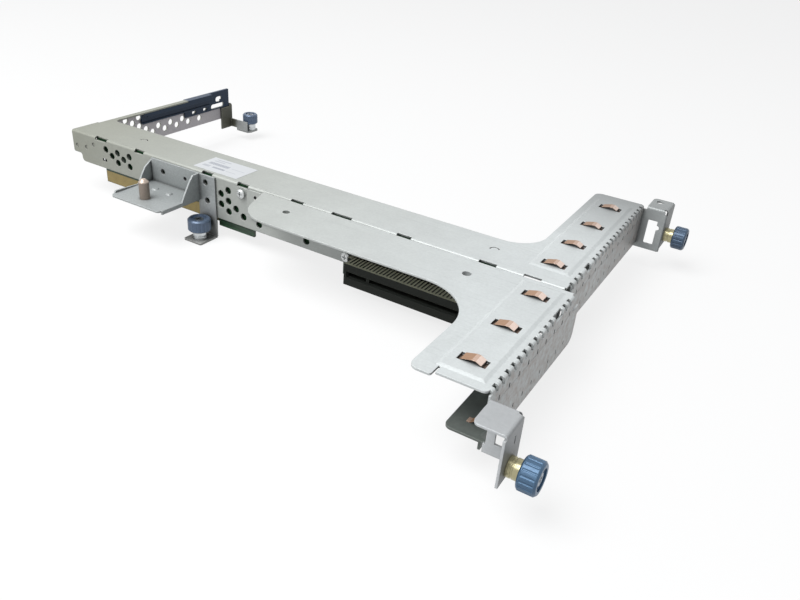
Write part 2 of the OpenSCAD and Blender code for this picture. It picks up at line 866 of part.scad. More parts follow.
// Arched strip over the raised field: its ends pass down through their slots and turn outward under the sheet
module slot_spring(x, y) {
    low = field_rise - sheet;
    foot = field_rise + 0.4;
    high = field_rise + 1.6;
    front_out = front_slot[1] - 0.3;
    rear_out = rear_slot[0] + 0.3;
    front_end = front_slot[0] - 0.8;
    rear_end = rear_slot[1] + 0.8;
    peak = 1.2;
    strip_along_x(x, y, 0, strip_w) polygon([
        [front_end, low - strip_t], [front_end, low], [front_out, low], [front_out, foot],
        [peak - 1.2, high], [peak + 0.5, high], [rear_out, foot], [rear_out, low],
        [rear_end, low], [rear_end, low - strip_t], [rear_out - strip_t, low - strip_t],
        [rear_out - strip_t, foot - 0.15], [peak + 0.4, high - strip_t],
        [peak - 1.1, high - strip_t], [front_out + strip_t, foot - 0.15],
        [front_out + strip_t, low - strip_t]]);
}

// Arched strip with flat ends, lying on a slot shelf
module shelf_spring(x, y, base) {
    half = 2.6;
    rise = 1.4;
    strip_along_x(x, y, base, 3) polygon([
        [-half - 1, strip_t], [-half + 0.4, strip_t], [-0.4, rise + strip_t], [0.6, rise + strip_t],
        [half - 0.6, strip_t], [half + 1, strip_t], [half + 1, 0], [half - 0.8, 0],
        [0.4, rise], [-0.2, rise], [-half + 0.6, 0], [-half - 1, 0]]);
}

module near_contact_spring(i) {
    color("sandybrown") slot_spring(near_slot_x, near_spring_y[i]);
}

module far_contact_spring(i) {
    color("sandybrown") slot_spring(far_slot_x, far_spring_y[i]);
}

module near_shelf_springs() {
    color("sandybrown") for (y = [-84.6, -50, -20]) {
        shelf_spring(-4.4, y, -near_shelf_drop);
    }
}

module far_shelf_springs() {
    color("sandybrown") for (y = [20, 50, 80, 110]) {
        shelf_spring(far_face - 6.2, y, -far_shelf_drop);
    }
}

// ---------- captive thumbscrews ----------

knob_cap = 1.7;
web_t = 0.9;
travel = 4;
ferrule_h = knob_gap + 0.5;
lip_t = 0.6;
lip_bore = 3.1;
shank_d = 3;
ring_t = 0.6;
ring_d = 5.6;
ring_bore = 2.5;
groove_d = 2.4;
play = 0.05;
spigot_d = 6;
knob_top = knob_gap + knob_h;
web_z = knob_top - 0.8 - web_t;
flange_d = 5.6;
spring_wire = 0.32;

// Moves local z to the screw's axis: along x for the rear plates, else upright
module at_screw(at, along_x) {
    translate(at) rotate(along_x ? [0, 90, 0] : [0, 0, 0]) children();
}

// Hole in the plate that takes the ferrule's spigot
module plate_bore() {
    translate([0, 0, -sheet - 1]) cylinder(d = spigot_d, h = sheet + 2);
}

// Fixed bush: spigot through the plate, body with a ring chamber, and a top lip that keeps the ring in
module ferrule() {
    difference() {
        union() {
            translate([0, 0, -sheet]) cylinder(d = spigot_d, h = sheet + eps);
            cylinder(d = ferrule_d, h = 1.8);
            translate([0, 0, 1.8]) cylinder(d = ferrule_d - 0.8, h = 0.7);
            translate([0, 0, 2.5]) cylinder(d = ferrule_d, h = ferrule_h - 2.5);
        }
        translate([0, 0, -sheet - 1]) cylinder(d = thread_d + 0.4, h = sheet + 1.1);
        cylinder(d = ring_d + 2 * play, h = ferrule_h - lip_t);
        translate([0, 0, ferrule_h - lip_t - 1]) cylinder(d = lip_bore, h = lip_t + 2);
    }
}

// Split retaining ring that slides in the ferrule with the screw
module ring() {
    translate([0, 0, ring_z()]) difference() {
        cylinder(d = ring_d, h = ring_t);
        translate([0, 0, -1]) cylinder(d = ring_bore, h = ring_t + 2);
        translate([0, -0.4, -1]) cube([ring_d, 0.8, ring_t + 2]);
    }
}

function ring_z() = ferrule_h - lip_t - ring_t - play;

// Screw: threaded tip, groove for the ring, shank, flange and the end that shows in the knob
module screw() {
    groove_low = ring_z() - play;
    groove_high = ring_z() + ring_t + play;
    difference() {
        union() {
            translate([0, 0, -sheet + 0.5]) cylinder(d1 = thread_d - 1, d2 = thread_d, h = 0.5);
            translate([0, 0, -sheet + 1 - eps]) cylinder(d = thread_d, h = groove_low - 1 + sheet + eps);
            translate([0, 0, groove_low - eps]) cylinder(d = groove_d, h = ring_t + 2 * play + 2 * eps);
            translate([0, 0, groove_high]) cylinder(d = shank_d, h = web_z - groove_high);
            translate([0, 0, web_z - 0.9]) cylinder(d = flange_d, h = 0.9);
            translate([0, 0, web_z - eps]) cylinder(d = 5, h = web_t + 0.3);
        }
        for (turn = [0, 90]) {
            rotate([0, 0, turn]) translate([-1.7, -0.4, web_z]) cube([3.4, 0.8, 3]);
        }
    }
}

// Knob: lobed sleeve over the ferrule, closed by a web around the screw's end
module knob(d = knob_d) {
    lobe_r = 0.55;
    difference() {
        union() {
            translate([0, 0, knob_gap + 0.6]) cylinder(d = d, h = knob_h - 1.4);
            translate([0, 0, knob_gap]) cylinder(d1 = d - 1.2, d2 = d, h = 0.6 + eps);
            translate([0, 0, knob_top - 0.8 - eps]) cylinder(d1 = d, d2 = d - 1.6, h = 0.8 + eps);
        }
        // Cavity under the web, hole for the screw's end, and the end recess
        translate([0, 0, knob_gap - 1]) cylinder(d = ferrule_d + 0.6, h = web_z - knob_gap + 1);
        translate([0, 0, web_z - 1]) cylinder(d = 5, h = 4);
        translate([0, 0, web_z + web_t]) cylinder(d = d - 4.4, h = 2);
        for (i = [0:knob_lobes - 1]) {
            rotate([0, 0, 360 / knob_lobes * i]) translate([d / 2 + 0.3, 0, knob_gap + 1])
                cylinder(r = lobe_r, h = knob_h - 2, $fn = 16);
        }
    }
}

// Return spring between the ferrule's rim and the knob's web: a flat wire in a helix
module spring_coil() {
    turns = 3;
    low = ferrule_h;
    high = web_z;
    sweep = 60;
    steps = 3;
    outer = 4.05;
    inner = outer - spring_wire;
    translate([0, 0, low]) linear_extrude(height = high - low, twist = -360 * turns, slices = 12 * turns)
        polygon(concat(
            [for (i = [0:steps]) outer * [cos(sweep * i / steps), sin(sweep * i / steps)]],
            [for (i = [steps:-1:0]) inner * [cos(sweep * i / steps), sin(sweep * i / steps)]]));
}

module near_ferrule() { color("khaki") at_screw(near_screw_at, true) ferrule(); }
module near_ring() { color("gray") at_screw(near_screw_at, true) ring(); }
module near_screw() { color("silver") at_screw(near_screw_at, true) screw(); }
module near_knob() { color("steelblue") at_screw(near_screw_at, true) knob(); }
module near_spring() { color("gray") at_screw(near_screw_at, true) spring_coil(); }

module far_ferrule() { color("silver") at_screw(far_screw_at, true) ferrule(); }
module far_ring() { color("gray") at_screw(far_screw_at, true) ring(); }
module far_screw() { color("silver") at_screw(far_screw_at, true) screw(); }
module far_knob() { color("steelblue") at_screw(far_screw_at, true) knob(); }
module far_spring() { color("gray") at_screw(far_screw_at, true) spring_coil(); }

module middle_ferrule() { color("silver") at_screw(middle_screw_at, false) ferrule(); }
module middle_ring() { color("gray") at_screw(middle_screw_at, false) ring(); }
module middle_screw() { color("silver") at_screw(middle_screw_at, false) screw(); }
module middle_knob() { color("slategray") at_screw(middle_screw_at, false) knob(); }
module middle_spring() { color("gray") at_screw(middle_screw_at, false) spring_coil(); }

module arm_ferrule() { color("silver") at_screw(arm_screw_at, false) ferrule(); }
module arm_ring() { color("gray") at_screw(arm_screw_at, false) ring(); }
module arm_screw() { color("silver") at_screw(arm_screw_at, false) screw(); }
module arm_knob() { color("slategray") at_screw(arm_screw_at, false) knob(arm_knob_d); }
module arm_spring() { color("gray") at_screw(arm_screw_at, false) spring_coil(); }

// ---------- nodes ----------

// Moves the cage so that the origin is at the foot of the guide pin
module placed() {
    translate([-pin_x, -pin_y, shelf_drop]) children();
}

placed() main_frame();
placed() near_wing();
placed() near_slot_cover();
placed() far_slot_cover();
placed() near_slot_shelf();
placed() far_slot_shelf();
placed() near_end_bracket();
placed() far_end_bracket();
placed() side_shelf_bracket();
placed() guide_pin();
placed() arm_end_bracket();
placed() card_guide();
placed() riser_board();
placed() edge_contacts();
placed() near_slot_connector();
placed() far_slot_connector();
placed() board_screws();
placed() board_spacers();
placed() board_nuts();
placed() rivets();
placed() label();
placed() near_contact_spring(0);  // near_contact_spring_1
placed() near_contact_spring(1);  // near_contact_spring_2
placed() near_contact_spring(2);  // near_contact_spring_3
placed() far_contact_spring(0);  // far_contact_spring_1
placed() far_contact_spring(1);  // far_contact_spring_2
placed() far_contact_spring(2);  // far_contact_spring_3
placed() far_contact_spring(3);  // far_contact_spring_4
placed() near_shelf_springs();
placed() far_shelf_springs();
placed() near_ferrule();
placed() near_ring();
placed() near_screw();
placed() near_knob();
placed() near_spring();
placed() far_ferrule();
placed() far_ring();
placed() far_screw();
placed() far_knob();
placed() far_spring();
placed() middle_ferrule();
placed() middle_ring();
placed() middle_screw();
placed() middle_knob();
placed() middle_spring();
placed() arm_ferrule();
placed() arm_ring();
placed() arm_screw();
placed() arm_knob();
placed() arm_spring();
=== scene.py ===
"""Riser cage bracket: finishes of its sheet metal, and small parts on its riser board and in its sockets."""

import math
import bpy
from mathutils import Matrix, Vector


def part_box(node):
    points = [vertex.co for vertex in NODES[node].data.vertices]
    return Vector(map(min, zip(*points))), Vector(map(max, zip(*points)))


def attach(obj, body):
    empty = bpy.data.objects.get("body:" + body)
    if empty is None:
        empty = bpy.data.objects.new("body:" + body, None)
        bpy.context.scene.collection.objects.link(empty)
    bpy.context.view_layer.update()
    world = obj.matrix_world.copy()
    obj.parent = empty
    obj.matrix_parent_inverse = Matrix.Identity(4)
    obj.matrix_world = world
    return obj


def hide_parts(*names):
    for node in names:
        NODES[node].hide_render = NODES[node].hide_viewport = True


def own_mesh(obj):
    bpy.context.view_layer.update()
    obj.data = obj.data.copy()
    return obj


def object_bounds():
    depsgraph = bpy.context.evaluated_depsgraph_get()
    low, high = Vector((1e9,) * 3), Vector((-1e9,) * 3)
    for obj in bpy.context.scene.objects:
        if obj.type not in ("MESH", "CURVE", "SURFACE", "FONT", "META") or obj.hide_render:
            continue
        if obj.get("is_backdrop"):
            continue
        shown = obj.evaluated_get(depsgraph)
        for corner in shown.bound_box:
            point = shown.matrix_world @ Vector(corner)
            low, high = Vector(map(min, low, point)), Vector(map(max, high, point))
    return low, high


bl_info = {
    "name": "Riser Cage Bracket",
    "version": (1, 0, 0),
    "blender": (4, 5, 0),
    "location": "3D View > Sidebar > Riser Cage",
    "description": "Finishes a server's riser cage and adds the small parts of its riser board",
    "category": "Object",
}

import bmesh
import bpy
from bpy.props import FloatProperty, FloatVectorProperty, PointerProperty
from mathutils import Matrix, Vector

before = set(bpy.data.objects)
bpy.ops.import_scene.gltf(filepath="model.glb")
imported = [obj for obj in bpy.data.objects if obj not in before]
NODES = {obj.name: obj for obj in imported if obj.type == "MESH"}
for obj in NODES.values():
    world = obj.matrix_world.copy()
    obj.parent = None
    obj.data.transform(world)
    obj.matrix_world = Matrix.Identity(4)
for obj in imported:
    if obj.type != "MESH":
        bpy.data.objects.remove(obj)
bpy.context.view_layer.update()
MM = 0.001
CAGE = "cage"


# ---------- colours and nodes ----------


def linear(hex_colour):
    """Turns an sRGB hex value into linear red, green and blue."""
    channels = [int(hex_colour[i : i + 2], 16) / 255 for i in (1, 3, 5)]
    return tuple(c / 12.92 if c <= 0.04045 else ((c + 0.055) / 1.055) ** 2.4 for c in channels)


def rgba(colour):
    return (*tuple(colour)[:3], 1.0)


def shade(colour, factor):
    """The same colour, darker or lighter."""
    return (*(min(1.0, c * factor) for c in tuple(colour)[:3]), 1.0)


def add(tree, kind, inputs=(), output=None, **settings):
    """Adds one shader node with its settings, and fills or links its inputs, by key or in their own order.

    Returns the node, or the output that is asked for.
    """
    made = tree.nodes.new("ShaderNode" + kind)
    for name, value in settings.items():
        setattr(made, name, value)
    keyed = inputs if isinstance(inputs, dict) else dict(enumerate(inputs))
    for key, value in keyed.items():
        if isinstance(value, bpy.types.NodeSocket):
            tree.links.new(value, made.inputs[key])
        else:
            made.inputs[key].default_value = value
    return made if output is None else made.outputs[output]


def new_material(name, roughness=0.5, metallic=0.0):
    """A material with one Principled shader. Returns it, its tree, the shader and Object coordinates."""
    material = bpy.data.materials.new(name)
    material.use_nodes = True
    tree = material.node_tree
    tree.nodes.clear()
    shader = add(tree, "BsdfPrincipled", {"Roughness": roughness, "Metallic": metallic})
    add(tree, "OutputMaterial", {"Surface": shader.outputs["BSDF"]})
    place = add(tree, "TexCoord", output="Object")
    return material, tree, shader, place


def finish_node(material, *names):
    """Gives CAD nodes their finish through the slots of their objects."""
    for name in names:
        item = NODES[name]
        for slot in item.material_slots:
            slot.link = "OBJECT"
            slot.material = material


# Blender's Mix node keeps its colour sockets at these places
FACTOR, COLOUR_A, COLOUR_B, COLOUR_OUT = 0, 6, 7, 2


# ---------- settings ----------


class RiserCageColours(bpy.types.PropertyGroup):
    """Colours of the cage's finishes."""

    sheet_cool: FloatVectorProperty(
        name="Sheet, slot end", description="Zinc-plated sheet towards the slots",
        subtype="COLOR", size=3, min=0, max=1, default=linear("#d6dbdb"),
    )
    sheet_warm: FloatVectorProperty(
        name="Sheet, arm end", description="Zinc-plated sheet towards the arm",
        subtype="COLOR", size=3, min=0, max=1, default=linear("#9a9c90"),
    )
    bracket_near: FloatVectorProperty(
        name="Near end bracket", description="Plain grey steel of the bracket at the near slot",
        subtype="COLOR", size=3, min=0, max=1, default=linear("#b8bbbd"),
    )
    # Painted shade: the far bracket's grey is darker than the near one's
    bracket_far: FloatVectorProperty(
        name="Far end bracket", description="Plain grey steel of the bracket at the far slot",
        subtype="COLOR", size=3, min=0, max=1, default=linear("#9a9e9e"),
    )
    # Painted highlight, partly wear: the colour of the sheet's paler cut and folded edges
    sheet_edge_highlight: FloatVectorProperty(
        name="Sheet edges", description="Bright cut and folded edges of the sheet",
        subtype="COLOR", size=3, min=0, max=1, default=linear("#eef0f0"),
    )
    # Partly painted shade: the shelves' dark colour stands in for part of the shade under the T plates
    dark_sheet: FloatVectorProperty(
        name="Dark sheet", description="Dark passivated shelves behind the slots",
        subtype="COLOR", size=3, min=0, max=1, default=linear("#646a66"),
    )
    pin: FloatVectorProperty(
        name="Guide pin", description="Turned steel guide pin",
        subtype="COLOR", size=3, min=0, max=1, default=linear("#94887e"),
    )
    guide: FloatVectorProperty(
        name="Card guide", description="Moulded card guide",
        subtype="COLOR", size=3, min=0, max=1, default=linear("#263a52"),
    )
    near_knob: FloatVectorProperty(
        name="Near knob", description="Blue knob at the near slot",
        subtype="COLOR", size=3, min=0, max=1, default=linear("#4a6783"),
    )
    far_knob: FloatVectorProperty(
        name="Far knob", description="Duller blue knob at the far slot",
        subtype="COLOR", size=3, min=0, max=1, default=linear("#44576c"),
    )
    slate_knob: FloatVectorProperty(
        name="Upright knobs", description="Slate-blue knobs of the upright screws",
        subtype="COLOR", size=3, min=0, max=1, default=linear("#5c6c82"),
    )
    # Painted shade: colour of the springs' -X flanks
    copper: FloatVectorProperty(
        name="Contact springs", description="Tarnished side of the copper-alloy contact springs",
        subtype="COLOR", size=3, min=0, max=1, default=linear("#a9805f"),
    )
    # Painted light: colour of the springs' +X flanks
    copper_lit_flank: FloatVectorProperty(
        name="Rubbed springs", description="Rubbed side of the copper-alloy contact springs",
        subtype="COLOR", size=3, min=0, max=1, default=linear("#f4ddd0"),
    )
    ferrule: FloatVectorProperty(
        name="Ferrules", description="Yellow-zinc ferrules",
        subtype="COLOR", size=3, min=0, max=1, default=linear("#aba585"),
    )
    gold: FloatVectorProperty(
        name="Edge contacts", description="Gold-plated board contacts",
        subtype="COLOR", size=3, min=0, max=1, default=linear("#a39260"),
    )
    board: FloatVectorProperty(
        name="Board", description="Solder mask of the riser board",
        subtype="COLOR", size=3, min=0, max=1, default=linear("#1a3a22"),
    )
    socket: FloatVectorProperty(
        name="Sockets", description="Moulded card sockets",
        subtype="COLOR", size=3, min=0, max=1, default=linear("#2c2f2b"),
    )


class RiserCageSizes(bpy.types.PropertyGroup):
    """Sizes of the finishes' patterns and of the board's small parts."""

    crystal: FloatProperty(
        name="Zinc crystals", description="Width of the plating's faint cloudy patches",
        unit="LENGTH", default=7 * MM, min=1 * MM,
    )
    grain: FloatProperty(
        name="Grain", description="Grain of plated and moulded surfaces, coarser than real so that it shows",
        unit="LENGTH", default=0.5 * MM, min=0.05 * MM,
    )
    # Width of the sheet's edges painted paler, partly wear and partly painted highlight
    edge: FloatProperty(
        name="Edge width", description="Width of the bright worn edges of the sheet",
        unit="LENGTH", default=0.45 * MM, min=0.05 * MM,
    )
    contact_pitch: FloatProperty(
        name="Contact pitch", description="Spacing of the board's edge contacts",
        unit="LENGTH", default=1.0 * MM, min=0.5 * MM,
    )
    knob_travel: FloatProperty(
        name="Knob travel", description="How far a thumbscrew's knob presses in, closing its return spring",
        unit="LENGTH", default=4.0 * MM, min=0.5 * MM,
    )
    socket_pitch: FloatProperty(
        name="Socket pitch", description="Spacing of the tongues in the card sockets",
        unit="LENGTH", default=2.0 * MM, min=0.5 * MM,
    )
    trace_pitch: FloatProperty(
        name="Trace pitch", description="Spacing of the board's traces",
        unit="LENGTH", default=1.3 * MM, min=0.5 * MM,
    )
    camera_lens: FloatProperty(
        name="Lens", description="Focal length of the camera, in millimetres", default=34.02, min=10,
    )


def colours():
    return bpy.context.scene.riser_cage_colours


def sizes():
    return bpy.context.scene.riser_cage_sizes


# ---------- materials ----------

# Marks of the rolling mill per metre, along X, Y and Z
SHEET_STREAKS = (18.0, 900.0, 900.0)  # about 55 mm long and 1.1 mm wide
SPRING_LINES = (300.0, 3500.0, 300.0)  # about 3.3 mm long and 0.3 mm wide

# Cosines between the bevelled and the true normal where a painted edge highlight starts and where it is fully
# bright
EDGE_STARTS, EDGE_BRIGHT = 0.995, 0.85


def worn_and_highlit_edge(tree, width):
    """A mask of outer and inner edges, where a bevelled normal leaves the true one: edges painted paler by it
    are partly wear and partly painted highlight.
    """
    soft = add(tree, "Bevel", {"Radius": width}, "Normal", samples=6)
    flat = add(tree, "NewGeometry", output="True Normal")
    match = add(tree, "VectorMath", (soft, flat), "Value", operation="DOT_PRODUCT")
    mask = add(tree, "MapRange", (match, EDGE_STARTS, EDGE_BRIGHT, 0.0, 1.0), "Result")
    return mask, soft


def painted_corner_shade(tree, colour, reach, openness, darkest):
    """Darkens a colour by ambient occlusion: painted shade in corners, holes and slots, where little light
    comes.
    """
    sky = add(tree, "AmbientOcclusion", {"Distance": reach}, "AO", samples=8)
    return add(
        tree, "VectorMath",
        {0: colour, "Scale": add(tree, "MapRange", (sky, *openness, darkest, 1.0), "Result")}, "Vector",
        operation="SCALE",
    )


def facing(tree, axis, source):
    """0 to 1 by how far a surface faces along an axis."""
    normal = add(tree, "SeparateXYZ", (add(tree, "NewGeometry", output="Normal"),), axis)
    return add(tree, "MapRange", (normal, *source, 0.0, 1.0), "Result")


def plated_sheet(name, colour, metallic, streak_colour, edge_highlight_amount):
    """Cold-rolled steel sheet, zinc-plated and passivated: matte, with faint cloudy patches; folds and edges
    painted paler, partly wear and partly painted highlight; painted shade in corners, holes and slots.

    The colour is a function of the tree and of the place, so that its tint may drift over the cage.
    """
    material, tree, shader, place = new_material(name, metallic=metallic)
    base = colour(tree, place)
    # Cloudy zinc patches, drawn at their real few millimetres
    patch = add(
        tree, "TexVoronoi", {"Vector": place, "Scale": 1 / sizes().crystal, "Randomness": 1.0}, "Color",
        feature="SMOOTH_F1",
    )
    cloud = add(
        tree, "TexNoise",
        {"Vector": place, "Scale": 1 / (5 * sizes().crystal), "Detail": 5.0, "Roughness": 0.6}, "Fac",
    )
    patch_tone = add(tree, "MapRange", (patch, 0.0, 1.0, 0.965, 1.03), "Result")
    cloud_tone = add(tree, "MapRange", (cloud, 0.3, 0.7, 0.95, 1.03), "Result")
    toned = add(
        tree, "VectorMath",
        {0: base, "Scale": add(tree, "Math", (patch_tone, cloud_tone), "Value", operation="MULTIPLY")},
        "Vector", operation="SCALE",
    )
    # Rolling streaks and handling marks, along the spine
    stretched = add(tree, "Mapping", {"Vector": place, "Scale": SHEET_STREAKS}, "Vector")
    streak = add(tree, "TexNoise", {"Vector": stretched, "Scale": 1.0, "Detail": 3.0}, "Fac")
    streaked = add(
        tree, "Mix",
        {
            FACTOR: add(tree, "MapRange", (streak, 0.55, 0.8, 0.0, 0.18), "Result"),
            COLOUR_A: toned,
            COLOUR_B: rgba(streak_colour),
        },
        COLOUR_OUT, data_type="RGBA",
    )
    # Edges and folds painted paler: partly wear, partly painted highlight
    mask, soft_normal = worn_and_highlit_edge(tree, sizes().edge)
    edged = add(
        tree, "Mix",
        {
            FACTOR: add(tree, "Math", (mask, edge_highlight_amount), "Value", operation="MULTIPLY"),
            COLOUR_A: streaked,
            COLOUR_B: rgba(colours().sheet_edge_highlight),
        },
        COLOUR_OUT, data_type="RGBA",
    )
    # Fine mottling of the passivation, drawn coarser than real so that it shows
    mottle = add(
        tree, "TexNoise", {"Vector": place, "Scale": 1 / (1.4 * MM), "Detail": 6.0, "Roughness": 0.75}, "Fac"
    )
    mottled = add(
        tree, "VectorMath",
        {0: edged, "Scale": add(tree, "MapRange", (mottle, 0.3, 0.7, 0.93, 1.05), "Result")}, "Vector",
        operation="SCALE",
    )
    # Painted shade: corners, holes and slots darkened by ambient occlusion, over a short and a wide reach
    near = painted_corner_shade(tree, mottled, 3 * MM, (0.3, 0.85), 0.25)
    tree.links.new(painted_corner_shade(tree, near, 24 * MM, (0.3, 0.85), 0.66), shader.inputs["Base Color"])
    tree.links.new(add(tree, "MapRange", (cloud, 0.3, 0.7, 0.40, 0.52), "Result"), shader.inputs["Roughness"])
    # Orange-peel of the plating
    grain = add(tree, "TexNoise", {"Vector": place, "Scale": 1 / sizes().grain, "Detail": 3.0}, "Fac")
    relief = add(
        tree, "Bump", {"Height": grain, "Strength": 0.12, "Distance": 0.05 * MM, "Normal": soft_normal},
        "Normal",
    )
    tree.links.new(relief, shader.inputs["Normal"])
    return material


def frame_tint(tree, place):
    """Warm and duller at the arm, cool and pale at the slots, and painted darker towards the far slots as
    shade.
    """
    axis = add(tree, "SeparateXYZ", (place,))
    low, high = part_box("main_frame")
    along = add(tree, "MapRange", (axis.outputs["X"], low.x, high.x * 0.9, 0.0, 1.0), "Result")
    base = add(
        tree, "Mix",
        {FACTOR: along, COLOUR_A: rgba(colours().sheet_warm), COLOUR_B: rgba(colours().sheet_cool)},
        COLOUR_OUT, data_type="RGBA",
    )
    # The +X-facing inside of the arm's web is painted paler and cooler: painted light on that face
    web = add(
        tree, "Math",
        (
            facing(tree, "X", (0.6, 0.9)),
            add(tree, "MapRange", (axis.outputs["X"], low.x + 4 * MM, low.x + 2 * MM, 0.0, 1.0), "Result"),
        ),
        "Value", operation="MULTIPLY",
    )
    base = add(
        tree, "Mix", {FACTOR: web, COLOUR_A: base, COLOUR_B: rgba(linear("#cfcbce"))}, COLOUR_OUT,
        data_type="RGBA",
    )
    # Painted shade: darker towards the far side at the slot end
    far_side = add(
        tree, "MapRange", (axis.outputs["Y"], low.y + 0.35 * (high.y - low.y), high.y, 0.0, 0.62), "Result"
    )
    slot_end = add(
        tree, "MapRange", (axis.outputs["X"], high.x - 100 * MM, high.x - 40 * MM, 0.0, 1.0), "Result"
    )
    painted_far_shade = add(
        tree, "Math", (1.0, add(tree, "Math", (far_side, slot_end), "Value", operation="MULTIPLY")), "Value",
        operation="SUBTRACT",
    )
    base = add(tree, "VectorMath", {0: base, "Scale": painted_far_shade}, "Vector", operation="SCALE")
    # The +X-facing rear walls at the slot end are mixed in clouds with a darker warm grey
    cloud = add(
        tree, "TexNoise", {"Vector": place, "Scale": 1 / (3.5 * MM), "Detail": 5.0, "Roughness": 0.65}, "Fac"
    )
    warm_cloud = add(tree, "MapRange", (cloud, 0.35, 0.65, 0.0, 0.85), "Result")
    rear = add(
        tree, "Math",
        (
            facing(tree, "X", (0.7, 0.95)),
            add(
                tree, "MapRange", (axis.outputs["X"], high.x - 60 * MM, high.x - 50 * MM, 0.0, 1.0), "Result"
            ),
        ),
        "Value", operation="MULTIPLY",
    )
    return add(
        tree, "Mix",
        {
            FACTOR: add(tree, "Math", (warm_cloud, rear), "Value", operation="MULTIPLY"),
            COLOUR_A: base,
            COLOUR_B: rgba(linear("#b3aaa4")),
        },
        COLOUR_OUT, data_type="RGBA",
    )


def arm_bracket_tint(tree, place):
    """The arm's end bracket, dark where it holds the arm and paler at its foot."""
    along = add(tree, "SeparateXYZ", (place,), "X")
    low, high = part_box("arm_end_bracket")
    width = high.x - low.x
    out = add(tree, "MapRange", (along, low.x + 0.25 * width, low.x + 0.4 * width, 0.0, 1.0), "Result")
    return add(
        tree, "Mix", {FACTOR: out, COLOUR_A: rgba(linear("#6c6c60")), COLOUR_B: rgba(linear("#b0b3b2"))},
        COLOUR_OUT, data_type="RGBA",
    )


def shelf_tint(tree, place):
    """The side shelf's cool grey, a little paler down its leg."""
    height = add(tree, "SeparateXYZ", (place,), "Z")
    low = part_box("side_shelf_bracket")[0]
    up = add(tree, "MapRange", (height, low.z, 0.0, 0.0, 1.0), "Result")
    base = add(
        tree, "Mix", {FACTOR: up, COLOUR_A: rgba(linear("#bebebb")), COLOUR_B: rgba(linear("#acb1b1"))},
        COLOUR_OUT, data_type="RGBA",
    )
    spangle = add(
        tree, "TexNoise", {"Vector": place, "Scale": 1 / (1.1 * MM), "Detail": 4.0, "Roughness": 0.7}, "Fac"
    )
    return add(
        tree, "VectorMath",
        {0: base, "Scale": add(tree, "MapRange", (spangle, 0.35, 0.65, 0.9, 1.1), "Result")}, "Vector",
        operation="SCALE",
    )


def bracket_tint(tree, place):
    """The end brackets' plainer grey, painted darker towards the far side as shade."""
    side = add(tree, "SeparateXYZ", (place,), "Y")
    low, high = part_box("near_end_bracket")[0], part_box("far_end_bracket")[1]
    across = add(tree, "MapRange", (side, low.y, high.y, 0.0, 1.0), "Result")
    base = add(
        tree, "Mix",
        {FACTOR: across, COLOUR_A: rgba(colours().bracket_near), COLOUR_B: rgba(colours().bracket_far)},
        COLOUR_OUT, data_type="RGBA",
    )
    # The plate behind the thumbscrew, facing +X, is painted darker than the side plate: painted shade on that
    # face
    base = add(
        tree, "VectorMath",
        {
            0: base,
            "Scale": add(tree, "MapRange", (facing(tree, "X", (0.6, 0.95)), 0.0, 1.0, 1.0, 0.7), "Result"),
        },
        "Vector", operation="SCALE",
    )
    # Painted light: the side plate's -Y face is painted paler
    return add(
        tree, "VectorMath",
        {
            0: base,
            "Scale": add(tree, "MapRange", (facing(tree, "Y", (-0.6, -0.95)), 0.0, 1.0, 1.0, 1.3), "Result"),
        },
        "Vector", operation="SCALE",
    )


def dark_sheet():
    """Dark sheet of the slot shelves, its darkness partly painted shade under the T plates: dull, with edges
    painted lighter, partly wear and partly painted highlight.
    """
    material, tree, shader, place = new_material("dark_and_shaded_sheet", roughness=0.5, metallic=0.35)
    cloud = add(
        tree, "TexNoise", {"Vector": place, "Scale": 1 / (3 * MM), "Detail": 6.0, "Roughness": 0.65}, "Fac"
    )
    base = add(
        tree, "Mix",
        {
            FACTOR: cloud,
            COLOUR_A: shade(colours().dark_sheet, 0.75),
            COLOUR_B: shade(colours().dark_sheet, 1.3),
        },
        COLOUR_OUT, data_type="RGBA",
    )
    mask, soft_normal = worn_and_highlit_edge(tree, 0.4 * MM)
    # Edges painted lighter: partly wear, partly painted highlight
    edged = add(
        tree, "Mix",
        {
            FACTOR: add(tree, "Math", (mask, 0.35), "Value", operation="MULTIPLY"),
            COLOUR_A: base,
            COLOUR_B: rgba(linear("#8e9288")),
        },
        COLOUR_OUT, data_type="RGBA",
    )
    tree.links.new(edged, shader.inputs["Base Color"])
    grain = add(tree, "TexNoise", {"Vector": place, "Scale": 1 / sizes().grain, "Detail": 2.0}, "Fac")
    relief = add(
        tree, "Bump", {"Height": grain, "Strength": 0.2, "Distance": 0.06 * MM, "Normal": soft_normal},
        "Normal",
    )
    tree.links.new(relief, shader.inputs["Normal"])
    return material


